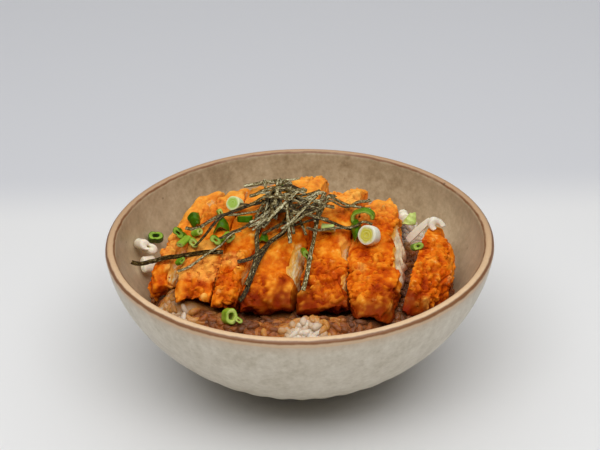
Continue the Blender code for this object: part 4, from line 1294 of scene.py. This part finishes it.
def rice_shape():
    """Shape tree: a lumpy core with two layers of loose grains on it."""
    shape = Shape("rice grains", ("Spacing", "Loose Spacing", "Lump"), Grains="Collection", Seed="Int")
    lump = (shape.mottle(shape.place, RICE_LUMP_SIZE, 2.0) - 0.5) * shape.given("Lump") * shape.read("open")
    core = shape.store(shape.given("Geometry"), tone=CORE_TONE)
    core = shape.move(core, shape.combine(z=lump * 2))
    layers = [core]
    for layer, (spacing, lift, tilt) in enumerate(GRAIN_LAYERS):
        seed = shape.given("Seed") + layer * 17
        points = shape.scatter(core, shape.read("open"), shape.given(spacing), seed)
        upright = shape.beside(points, "Rotation")
        points = shape.store(points, tone=shape.pick(0.0, 1.0, 5 + layer))
        raised = shape.pick(lift - GRAIN_LIFT_SPREAD, lift + GRAIN_LIFT_SPREAD, 11)
        points = shape.move(points, shape.combine(z=raised))
        spin = shape.pick((-GRAIN_ROLL, -tilt, -GRAIN_TURN), (GRAIN_ROLL, tilt, GRAIN_TURN), 21 + layer,
                          "FLOAT_VECTOR")
        size = shape.pick(*GRAIN_SIZES, 41, "FLOAT_VECTOR")
        layers.append(shape.strew(shape.given("Grains"), points, upright, spin, size, 31))
    shape.finish(shape.join(*layers))
    return shape


def grain_shapes():
    """Cooked grains to strew: plump, slim, bent and broken."""
    grains = bpy.data.collections.new("rice grains")
    for index, (stretch, girth, bow, taper) in enumerate(GRAIN_KINDS):
        shape = bmesh.new()
        bmesh.ops.create_uvsphere(shape, u_segments=GRAIN_SEGMENTS, v_segments=GRAIN_RINGS, radius=1.0)
        for vertex in shape.verts:
            side, high, along = vertex.co
            thin = 1 - taper * along
            bent = bow * GRAIN_LENGTH / 2 * (along * along - 0.5)
            vertex.co = (
                along * stretch * GRAIN_LENGTH / 2,
                side * girth * thin * GRAIN_WIDTH / 2 + bent,
                high * girth * thin * GRAIN_WIDTH / 2 * GRAIN_FLATNESS,
            )
        bmesh.ops.recalc_face_normals(shape, faces=shape.faces)
        keep_kind(shape, f"grain_{index}", grains)
    return grains


def make_rice(finish, slices):
    """The bed, with grains where nothing covers it and no wall is too near."""
    points, faces, upper_count = rice_core()
    cover = world_tree(slices)
    shown = np.zeros(len(points))
    near = np.zeros(len(points))
    for number in range(upper_count):
        x, y, z = points[number]
        close = cover.find_nearest(Vector((x, y, z)))[3]
        above = cover.ray_cast(Vector((x, y, z + COVER_START)), Vector((0, 0, 1)))[0]
        room = inner_height(math.hypot(x, y)) < z - GRAIN_ROOM
        shown[number] = room and (above is None or close > COVER_HEIGHT)
        # painted shade: the rice darkens close to the slices
        near[number] = max(0.0, 1 - close / SLICE_SHADE_REACH)
    x, y, _ = points.T
    rice = mesh_piece("rice_bed", points, faces, finish, open=shown, soak=soak_at(x, y), near=near)
    merge_points(rice)
    grow(rice, rice_shape(), Finish=finish.material, Grains=grain_shapes(), Spacing=GRAIN_SPACING,
         Loose_Spacing=LOOSE_GRAIN_SPACING, Lump=RICE_LUMP, Seed=RICE_SEED)
    return settle(rice, "rice")


def cooked_rice():
    """Moist translucent grains, white where no sauce has run and brown where it has, with painted shade near
    the slices.
    """
    finish = Finish("moist cooked rice")
    drift = finish.mottle(finish.place, 0.008, 2.0, 0.5, 1.0)
    grain = finish.mottle(finish.place, 0.0016, 2.0)
    soak = finish.attribute("soak") + (drift - 0.5) * 1.1 + (finish.attribute("tone") - 0.5) * 0.30
    base = finish.paint(
        finish.shade(soak, (0.05, 222, 206, 188), (0.30, 192, 162, 132), (0.52, 198, 134, 56),
                     (0.76, 154, 76, 6), (1.0, 98, 40, 0)),
        # painted shade near the slices, partly sauce
        (finish.attribute("near") * 0.75, (74, 26, 6)),
        (grain * 0.10, (250, 220, 170)),
    )
    finish.set(Base_Color=base, Roughness=0.16 + grain * 0.2, Normal=finish.relief(grain, 0.00015),
               Subsurface_Weight=0.8, Subsurface_Radius=(0.0040, 0.0026, 0.0016), Specular_IOR_Level=0.20)
    return finish


# Spring onion


def ring_section(size, wall, half):
    """A hollow leaf's wall cut across, a closed outline with eased corners."""
    ease = wall * CUT_EASE_SHARE
    section = []
    for centre_z, centre_r, start in ((half - ease, -ease, 0), (half - ease, -wall + ease, 90),
                                      (-half + ease, -wall + ease, 180), (-half + ease, -ease, 270)):
        for step in range(CUT_EASE_STEPS + 1):
            angle = math.radians(start + step * 90 / CUT_EASE_STEPS)
            section.append((size / 2 + centre_r + ease * math.cos(angle), centre_z + ease * math.sin(angle)))
    return fill_section(section)


def fill_section(section):
    """Add even points on the long straight stretches of a closed outline."""
    filled = []
    for start, stop in zip(section, section[1:] + section[:1]):
        count = WALL_STEPS if math.dist(start, stop) > LONG_STRETCH else 1
        for step in range(count):
            share = step / count
            filled.append((start[0] + (stop[0] - start[0]) * share, start[1] + (stop[1] - start[1]) * share))
    return filled


def turned_ring(part, seed):
    """A short cut length of hollow leaf, or a curl of it: an uneven, leaning oval."""
    draw = random.Random(seed)
    closed = part.kind == "tube"
    half = part.length / 2
    wall = wall_thickness(part)
    section = ring_section(part.size, wall, half)
    arc = math.tau if closed else math.radians(CURL_ARC_DEG)
    steps = RING_STEPS if closed else CURL_STEPS
    rounds = steps if closed else steps + 1
    tilt_low, tilt_high = draw.uniform(-CUT_TILT, CUT_TILT), draw.uniform(-CUT_TILT, CUT_TILT)
    squash = SQUASH[part.finish] if closed else 1.0
    oval, phase = min(OVAL_MOST, draw.uniform(*OVALS) * squash), draw.uniform(0, math.tau)
    points, sides, ends = [], [], []
    for turn in range(rounds):
        angle = arc * turn / steps
        stretch = 1 + oval * math.cos(2 * angle + phase) + FIVE_FOLD * math.cos(5 * angle + 2 * phase)
        for radius, height in section:
            share = height / half
            tilt = tilt_high if share > 0 else tilt_low
            skew = tilt * part.size / 2 * math.cos(angle + phase) * abs(share)
            radius *= stretch * (1 + CUT_FLARE * share * share)
            points.append((radius * math.cos(angle), radius * math.sin(angle), height + skew))
            sides.append((part.size / 2 * stretch - radius) / wall)
            ends.append(abs(share))
    count = len(section)
    faces = []
    for turn in range(steps):
        near, far = turn * count, (turn + 1) % rounds * count
        for spot in range(count):
            ahead = (spot + 1) % count
            faces.append((near + spot, far + spot, far + ahead, near + ahead))
    if not closed:
        faces.append(tuple(range(count)))
        faces.append(tuple(reversed(range((rounds - 1) * count, rounds * count))))
    return points, faces, sides, ends


def wall_thickness(part):
    if part.kind == "curl":
        return part.size * CURL_WALL_SHARE[part.finish]
    if part.finish == "white":
        return part.size * STUB_WALL_SHARE
    return min(ONION_WALL, part.size * ONION_WALL_SHARE)


def leaf_surface(part, seed):
    """A flat piece of green top, arched across and a little twisted."""
    draw = random.Random(seed)
    twist = draw.choice((-1, 1)) * draw.uniform(*LEAF_TWIST)
    places, faces = block_surface(*LEAF_GRID)
    across, along, up = places.T
    squareness = 1 - LEAF_TAPER * abs(along) ** 3
    wide = across * 0.5 * part.size * squareness
    arch = part.size * LEAF_ARCH[part.finish] * (0.25 - (across / 2) ** 2)
    sag = -LEAF_SAG * part.length * along * along
    ripple = LEAF_RIPPLE * np.sin(7 * along + 3 * across + seed)
    x = wide * (1 - twist * along) + twist * LEAF_SWAY * part.size * along
    edge = LEAF_EDGE_WAVE * np.sin(3 * across + seed)
    y = along * 0.5 * part.length + edge + LEAF_SLANT * part.size * across
    z = arch + sag + ripple + up * LEAF_THICKNESS / 2
    return np.stack([x, y, z], axis=1), faces, (1 - up) / 2, abs(along)


def round_surface(part, _):
    """The white end's round: a short barrel with ring on ring in its faces."""
    radius = part.size / 2
    half = part.length / 2
    section = [(0.0, half)]
    for step in range(1, ROUND_RINGS):
        share = step / ROUND_RINGS
        dip = RING_RELIEF * math.sin(share * RING_COUNT * math.tau) - HEART_DEPTH * (share < HEART_SHARE)
        section.append((radius * ROUND_FACE * share, half + dip))
    for step in range(2 * ROUND_SIDE + 1):
        angle = math.pi / 2 * (1 - step / ROUND_SIDE)
        tall = half - ROUND_EASE if 0 < step < 2 * ROUND_SIDE else half * ROUND_SHOULDER
        section.append((radius * (ROUND_FACE + ROUND_BULGE * math.cos(angle)), tall * math.sin(angle)))
    for step in range(ROUND_RINGS - 1, 0, -1):
        section.append((radius * ROUND_FACE * step / ROUND_RINGS, -half))
    section.append((0.0, -half))
    angles = np.arange(ROUND_SEGMENTS) * math.tau / ROUND_SEGMENTS
    wave = 1 + ROUND_OVAL * np.cos(2 * angles) + ROUND_WAVE * np.cos(5 * angles + 1)
    radii, heights = np.array(section).T
    sides, ends = (np.tile(shares, ROUND_SEGMENTS) for shares in (radii / radius, heights / half))
    points = turned_points(section, ROUND_SEGMENTS, wave)
    return points, turned_faces(ROUND_SEGMENTS, len(section)), sides, ends


ONION_SURFACES = {"leaf": leaf_surface, "round": round_surface, "tube": turned_ring, "curl": turned_ring}


def onion_piece(part, surface, finish):
    """A cut piece at the origin, with its faces outwards."""
    points, faces, sides, ends = surface
    item = mesh_piece(part.name + "_cut", points, faces, finish, side=sides, end=ends)
    shape = bmesh.new()
    shape.from_mesh(item.data)
    bmesh.ops.recalc_face_normals(shape, faces=shape.faces)
    shape.to_mesh(item.data)
    shape.free()
    return item


def place_onion(item, part):
    """Turn a piece, then put its box's middle on its CAD node's."""
    turn = Matrix.Rotation(math.radians(part.turn_deg), 4, "Z")
    lean = Matrix.Rotation(math.radians(part.lean_deg), 4, "X")
    item.data.transform(turn @ lean)
    corners = np.array([vertex.co for vertex in item.data.vertices])
    low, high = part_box(part.name)
    middle = (low + high) / 2 + SHIFTS.get(part.name, Vector())
    item.data.transform(Matrix.Translation(middle - Vector((corners.min(0) + corners.max(0)) / 2)))


def make_onions(finishes):
    pieces = []
    for number, part in enumerate(ONIONS):
        is_round = part.kind == "round"
        finish = finishes[part.finish + " round" if is_round else part.finish]
        item = onion_piece(part, ONION_SURFACES[part.kind](part, number), finish)
        if is_round:
            merge_points(item)
        place_onion(item, part)
        pieces.append(settle(item, part.name))
    return pieces


def make_sliver(finish):
    """A tapered, slightly bowed strip of the white end."""
    low, high = SLIVER_LOW_END, SLIVER_HIGH_END
    along_axis = (high - low).normalized()
    side_axis = SLIVER_FACING.cross(along_axis).normalized()
    places, faces = block_surface(*SLIVER_GRID)
    across, along, up = places.T
    taper = 1 - SLIVER_TAPER * abs(along) ** 4 - SLIVER_POINT * along
    domed = up * SLIVER_THICKNESS / 2 * (1 - SLIVER_DOME * across ** 2)
    points = (
        np.array(low.lerp(high, 0.5))
        + np.outer(along * (high - low).length / 2, along_axis)
        + np.outer(across * taper * SLIVER_WIDTH / 2, side_axis)
        + np.outer(domed + SLIVER_BOW * np.cos(along * 2), along_axis.cross(side_axis))
    )
    item = mesh_piece("onion_white_sliver_cut", points, faces, finish, side=(1 - up) / 2, end=abs(along))
    soften = item.modifiers.new("Soft edges", "SUBSURF")
    soften.levels = soften.render_levels = 1
    keep_mesh(item)
    return settle(item, "onion_white_sliver")


def onion_finish(name, skin, flesh, rim):
    """Glossy leaf: one colour outside, a paler one inside and on the cut rim."""
    finish = Finish(name)
    side = finish.attribute("side")
    end = finish.attribute("end")
    drift = finish.mottle(finish.place, 0.0030, 2.0)
    veins = finish.mottle(finish.place, 0.0006, 2.0, 0.6, 2.0)
    dark_skin, light_skin = skin
    body = finish.paint(
        finish.blend(drift, dark_skin, light_skin),
        (finish.step(side, 0.35, 0.75), flesh),
        # painted shade: the inner wall and a leaf's underside darken a little towards the dark skin
        (finish.step(side, 0.95, 1.15) * 0.25, dark_skin),
        (finish.step(end, 0.90, 1.0) * finish.step(side, 0.05, 0.3), rim),
        (finish.step(veins, 0.5, 0.7) * 0.35, flesh),
        (finish.step(drift, 0.55, 0.35) * 0.4, dark_skin),
    )
    finish.set(Base_Color=body, Roughness=0.22 + veins * 0.2, Normal=finish.relief(veins, 0.00010),
               Subsurface_Weight=0.2, Subsurface_Radius=(0.0012, 0.0016, 0.0006), Specular_IOR_Level=0.15)
    return finish


def round_finish(name, pale, heart):
    """A closed round's cut face, with a coloured heart in the middle."""
    finish = Finish(name)
    share = finish.attribute("side")
    face = finish.step(finish.attribute("end"), 0.4, 0.9)
    drift = finish.mottle(finish.place, 0.0022, 2.0)
    rings = finish.maths("SINE", share * 22 + (drift - 0.5) * 5)
    body = finish.paint(
        finish.blend(drift, *pale),
        (finish.step(share + (drift - 0.5) * 0.45, 0.90, 0.58) * face, heart),
        (finish.step(rings, 0.2, 1.0) * 0.22 * face * drift, (246, 244, 214)),
    )
    finish.set(Base_Color=body, Roughness=0.30 + drift * 0.2, Subsurface_Weight=0.3,
               Subsurface_Radius=(0.0016, 0.0016, 0.0010), Specular_IOR_Level=0.4)
    return finish


def onion_finishes():
    leaves = {kind: onion_finish(*colours) for kind, colours in LEAF_COLOURS.items()}
    rounds = {kind: round_finish(*colours) for kind, colours in ROUND_COLOURS.items()}
    return {**leaves, **rounds}


# Nori


def smooth_path(points, step):
    """Points at about an even step along a smooth curve through the given ones."""
    ends = [2 * points[0] - points[1], *points, 2 * points[-1] - points[-2]]
    path = []
    for before, start, stop, after in zip(ends, ends[1:], ends[2:], ends[3:]):
        count = max(1, round((stop - start).length / step))
        for index in range(count):
            share = index / count
            squared = share * share
            cubed = squared * share
            path.append(0.5 * (
                2 * start + (stop - before) * share
                + (2 * before - 5 * start + 4 * stop - after) * squared
                + (3 * start - before - 3 * stop + after) * cubed
            ))
    path.append(points[-1].copy())
    return path


def tangent_at(path, index):
    return (path[min(index + 1, len(path) - 1)] - path[max(index - 1, 0)]).normalized()


def blurred(heights):
    padded = [heights[0], *heights, heights[-1]]
    neighbours = zip(padded, padded[1:], padded[2:])
    return [(before + 2 * height + after) / 4 for before, height, after in neighbours]


def lay_over(path, tree, pile):
    """Raise a path until it clears what lies below, and add it to the pile."""
    floors, cells = [], []
    for index, point in enumerate(path):
        side = tangent_at(path, index).cross(Vector((0, 0, 1))).normalized() * NORI_WIDTH / 2
        spots = [point + side * share for share in PROBES_ACROSS]
        floor = max(height_under(tree, spot.x, spot.y) for spot in spots) + NORI_CLEAR
        cells.append({(round(spot.x / PILE_CELL), round(spot.y / PILE_CELL)) for spot in spots})
        floors.append(max(floor, *(pile.get(cell, 0.0) for cell in cells[-1])))
    heights = [max(point.z, floor) for point, floor in zip(path, floors)]
    for _ in range(NORI_STIFFNESS):
        heights = [max(height, floor) for height, floor in zip(blurred(heights), floors)]
    heights = blurred(blurred(heights))
    for point, height, below in zip(path, heights, cells):
        point.z = height
        for cell in below:
            pile[cell] = max(pile.get(cell, 0.0), height + NORI_THICKNESS)


def tangle_paths():
    """Seeded short strips that fill out the middle of the heap."""
    draw = random.Random(TANGLE_SEED)
    paths = []
    for _ in range(TANGLE_STRIPS):
        spin, reach = draw.uniform(0, math.tau), math.sqrt(draw.random())
        middle = Vector((
            TANGLE_CENTRE[0] + TANGLE_RADII[0] * reach * math.cos(spin),
            TANGLE_CENTRE[1] + TANGLE_RADII[1] * reach * math.sin(spin),
            RIM_HEIGHT + draw.uniform(*TANGLE_HEIGHTS),
        ))
        heading = math.radians(draw.choice([draw.uniform(*turns) for turns in TANGLE_HEADINGS_DEG]))
        half = draw.uniform(*TANGLE_HALF_LENGTHS)
        run = Vector((math.cos(heading), math.sin(heading), 0)) * half
        bow = Vector((-run.y, run.x, 0)) * draw.uniform(-TANGLE_BOW, TANGLE_BOW)
        down = Vector((0, 0, -draw.uniform(*TANGLE_DROPS)))
        bends = [middle + run * share + bow * TANGLE_BOW_SHARE for share in (-TANGLE_BENDS, TANGLE_BENDS)]
        end = middle + run + down * draw.uniform(*TANGLE_END_DROPS)
        paths.append([middle - run + down, *bends, end])
    return paths


def strip_shape():
    """Shape tree: sweep a flat section along each path, its width along "side"."""
    shape = Shape("nori strip", ("Width", "Thickness", "Fray"))
    curve = shape.add("GeometryNodeMeshToCurve", values={"Mesh": shape.given("Geometry")})
    curve = shape.add("GeometryNodeSetCurveNormal", {"mode": "FREE"}, {
        "Curve": curve, "Normal": shape.read("side", "FLOAT_VECTOR")})
    section = shape.add("GeometryNodeCurvePrimitiveQuadrilateral", values={
        "Width": shape.given("Width"), "Height": shape.given("Thickness")})
    section = shape.add("GeometryNodeSubdivideCurve", values={"Curve": section, "Cuts": 3})
    section = shape.store(section, across=shape.split(shape.place)[0] / shape.given("Width"))
    swept = shape.add("GeometryNodeCurveToMesh", values={
        "Curve": curve, "Profile Curve": section, "Scale": shape.read("breadth"), "Fill Caps": True})
    fray = shape.add("ShaderNodeTexNoise", values={
        "Vector": shape.place, "Scale": FRAY_WAVES, "Detail": 1.0}, output="Color")
    fray = shape.vector("SUBTRACT", {0: fray, 1: (0.5, 0.5, 0.5)})
    shape.finish(shape.move(swept, shape.vector("SCALE", {0: fray, "Scale": shape.given("Fray")})))
    return shape


def path_lines(name, paths):
    """One object that holds each path as a chain of edges.

    Each strip's flat face looks about the way of NORI_FACING, and rolls by up
    to NORI_ROLL along it.
    """
    draw = random.Random(NORI_SEED)
    points, edges, sides, tones, alongs, breadths = [], [], [], [], [], []
    for number, path in enumerate(paths):
        start = len(points)
        tone = draw.random()
        phase, breadth = draw.uniform(0, math.tau), draw.uniform(*NORI_BREADTHS)
        if number in BROAD_STRIPS:
            breadth = 1.0
        swing = draw.uniform(*NORI_ROLL_SHARES) * NORI_ROLL
        looks = NORI_FACING + Vector([draw.uniform(*turns) for turns in NORI_FACING_SPREAD])
        for index, point in enumerate(path):
            along = tangent_at(path, index)
            roll = Matrix.Rotation(swing * math.sin(phase + index * NORI_STEP / NORI_ROLL_LENGTH), 3, along)
            points.append(tuple(point))
            sides.append((roll @ along.cross(looks)).normalized())
            tones.append(tone)
            breadths.append(breadth)
            alongs.append(index * NORI_STEP)
        edges += [(start + index, start + index + 1) for index in range(len(path) - 1)]
    mesh = bpy.data.meshes.new(name)
    mesh.from_pydata(points, edges, [])
    add_numbers(mesh, {"tone": tones, "along": alongs, "breadth": breadths})
    mesh.attributes.new("side", "FLOAT_VECTOR", "POINT").data.foreach_set("vector", np.ravel(sides))
    return link(bpy.data.objects.new(name, mesh))


def make_nori(finish, carriers):
    tree = world_tree(carriers)
    rim = Vector((0, 0, RIM_HEIGHT))
    paths = [[Vector(point) * MM + rim for point in path] for path in NORI_PATHS_MM] + tangle_paths()
    smooth = [smooth_path(path, NORI_STEP) for path in paths]
    pile = {}
    for path in smooth:
        lay_over(path, tree, pile)
    nori = path_lines("nori_strips", smooth)
    grow(nori, strip_shape(), Finish=finish.material, Width=NORI_WIDTH, Thickness=NORI_THICKNESS,
         Fray=NORI_FRAY)
    nori.data.set_sharp_from_angle(angle=math.radians(NORI_SHARP_DEG))
    return settle(nori, "nori_shreds")


def dried_nori():
    """Dark olive sheet with pale streaks of painted sheen and darker cut edges."""
    finish = Finish("dried nori")
    across = finish.attribute("across")
    tone = finish.attribute("tone")
    flow = finish.combine(across * 0.004, finish.attribute("along") * 0.45, tone * 0.3)
    streaks = finish.mottle(flow, 0.0009, 4.0, 0.75)
    fine = finish.mottle(finish.place, 0.0006, 3.0, 0.7, 2.0)
    x = finish.split(finish.place)[0]
    # painted sheen: the ramp's pale end gives glints in streaks, with tone that differs at random from strip
    # to strip
    sheen_and_tone = 0.49 + (streaks - 0.5) * 1.4 + (fine - 0.5) * 0.55 + (tone - 0.5) * 0.24
    sheen_and_tone = sheen_and_tone - finish.step(abs(across), 0.36, 0.5) * 0.13
    # painted shade: less sheen on the strips to the left, away from the heap
    sheen_and_tone = sheen_and_tone - finish.step(x, -0.014, -0.030) * 0.03
    base = finish.shade(sheen_and_tone, (0.34, 34, 22, 4), (0.44, 78, 58, 18), (0.55, 134, 116, 64),
                        (0.70, 232, 228, 190))
    bumps = finish.relief(fine, 0.00010, finish.relief(streaks, 0.00015))
    finish.set(Base_Color=base, Roughness=0.35 + fine * 0.3, Normal=bumps, Specular_IOR_Level=0.16)
    return finish


# Floor, light and camera


def make_floor():
    """A wide pale floor that turns a little greyer behind the bowl."""
    finish = Finish("pale floor")
    y = finish.split(finish.place)[1]
    base = finish.blend(finish.step(y, 0.135, 0.20), FLOOR_FRONT, FLOOR_BEHIND)
    base = finish.blend(finish.step(y, 0.20, 1.2), base, FLOOR_FAR)
    paper = finish.relief(finish.mottle(finish.place, 0.03, 2.0), 0.0002)
    finish.set(Base_Color=base, Roughness=0.9, Normal=paper)
    points = [(x * FLOOR_REACH, y * FLOOR_REACH, 0) for x, y in ((-1, -1), (1, -1), (1, 1), (-1, 1))]
    mesh_piece("floor", points, [(0, 1, 2, 3)], finish)


def light_scene():
    target = Vector(LAMP_TARGET)
    for name, place, size, power in LAMPS:
        lamp = bpy.data.lights.new(name, "AREA")
        lamp.shape = "RECTANGLE"
        lamp.size, lamp.size_y = size
        lamp.energy = power
        item = link(bpy.data.objects.new(name, lamp))
        item.location = place
        item.rotation_euler = (target - Vector(place)).to_track_quat("-Z", "Y").to_euler()
    world = bpy.data.worlds.new("room")
    world.use_nodes = True
    background = world.node_tree.nodes["Background"]
    background.inputs["Color"].default_value = ROOM_LIGHT
    background.inputs["Strength"].default_value = ROOM_STRENGTH
    bpy.context.scene.world = world
    bpy.context.scene.view_settings.view_transform = "Standard"


def make_camera():
    lens = bpy.data.cameras.new("camera")
    lens.sensor_width = SENSOR_WIDTH
    lens.lens = FOCAL_PIXELS / PHOTO_WIDTH * SENSOR_WIDTH
    lens.shift_x = (PHOTO_WIDTH / 2 - PHOTO_CENTRE[0]) / PHOTO_WIDTH
    lens.shift_y = (PHOTO_CENTRE[1] - PHOTO_HEIGHT / 2) / PHOTO_WIDTH
    lens.clip_start = 0.01
    camera = link(bpy.data.objects.new("camera", lens))
    elevation = math.radians(CAMERA_ELEVATION_DEG)
    target = Vector((0, 0, RIM_HEIGHT))
    camera.location = target + CAMERA_DISTANCE * Vector((0, -math.cos(elevation), math.sin(elevation)))
    look = (target - camera.location).to_track_quat("-Z", "Y").to_matrix()
    camera.rotation_euler = (look @ Matrix.Rotation(-math.radians(CAMERA_ROLL_DEG), 3, "Z")).to_euler()
    bpy.context.scene.camera = camera


make_bowl(stoneware())
slices = make_slices(crumb_crust())
rice = make_rice(cooked_rice(), slices)
finishes = onion_finishes()
onions = make_onions(finishes)
onions.append(make_sliver(finishes["white"]))
make_nori(dried_nori(), [rice, *slices, *onions])
make_floor()
light_scene()
make_camera()
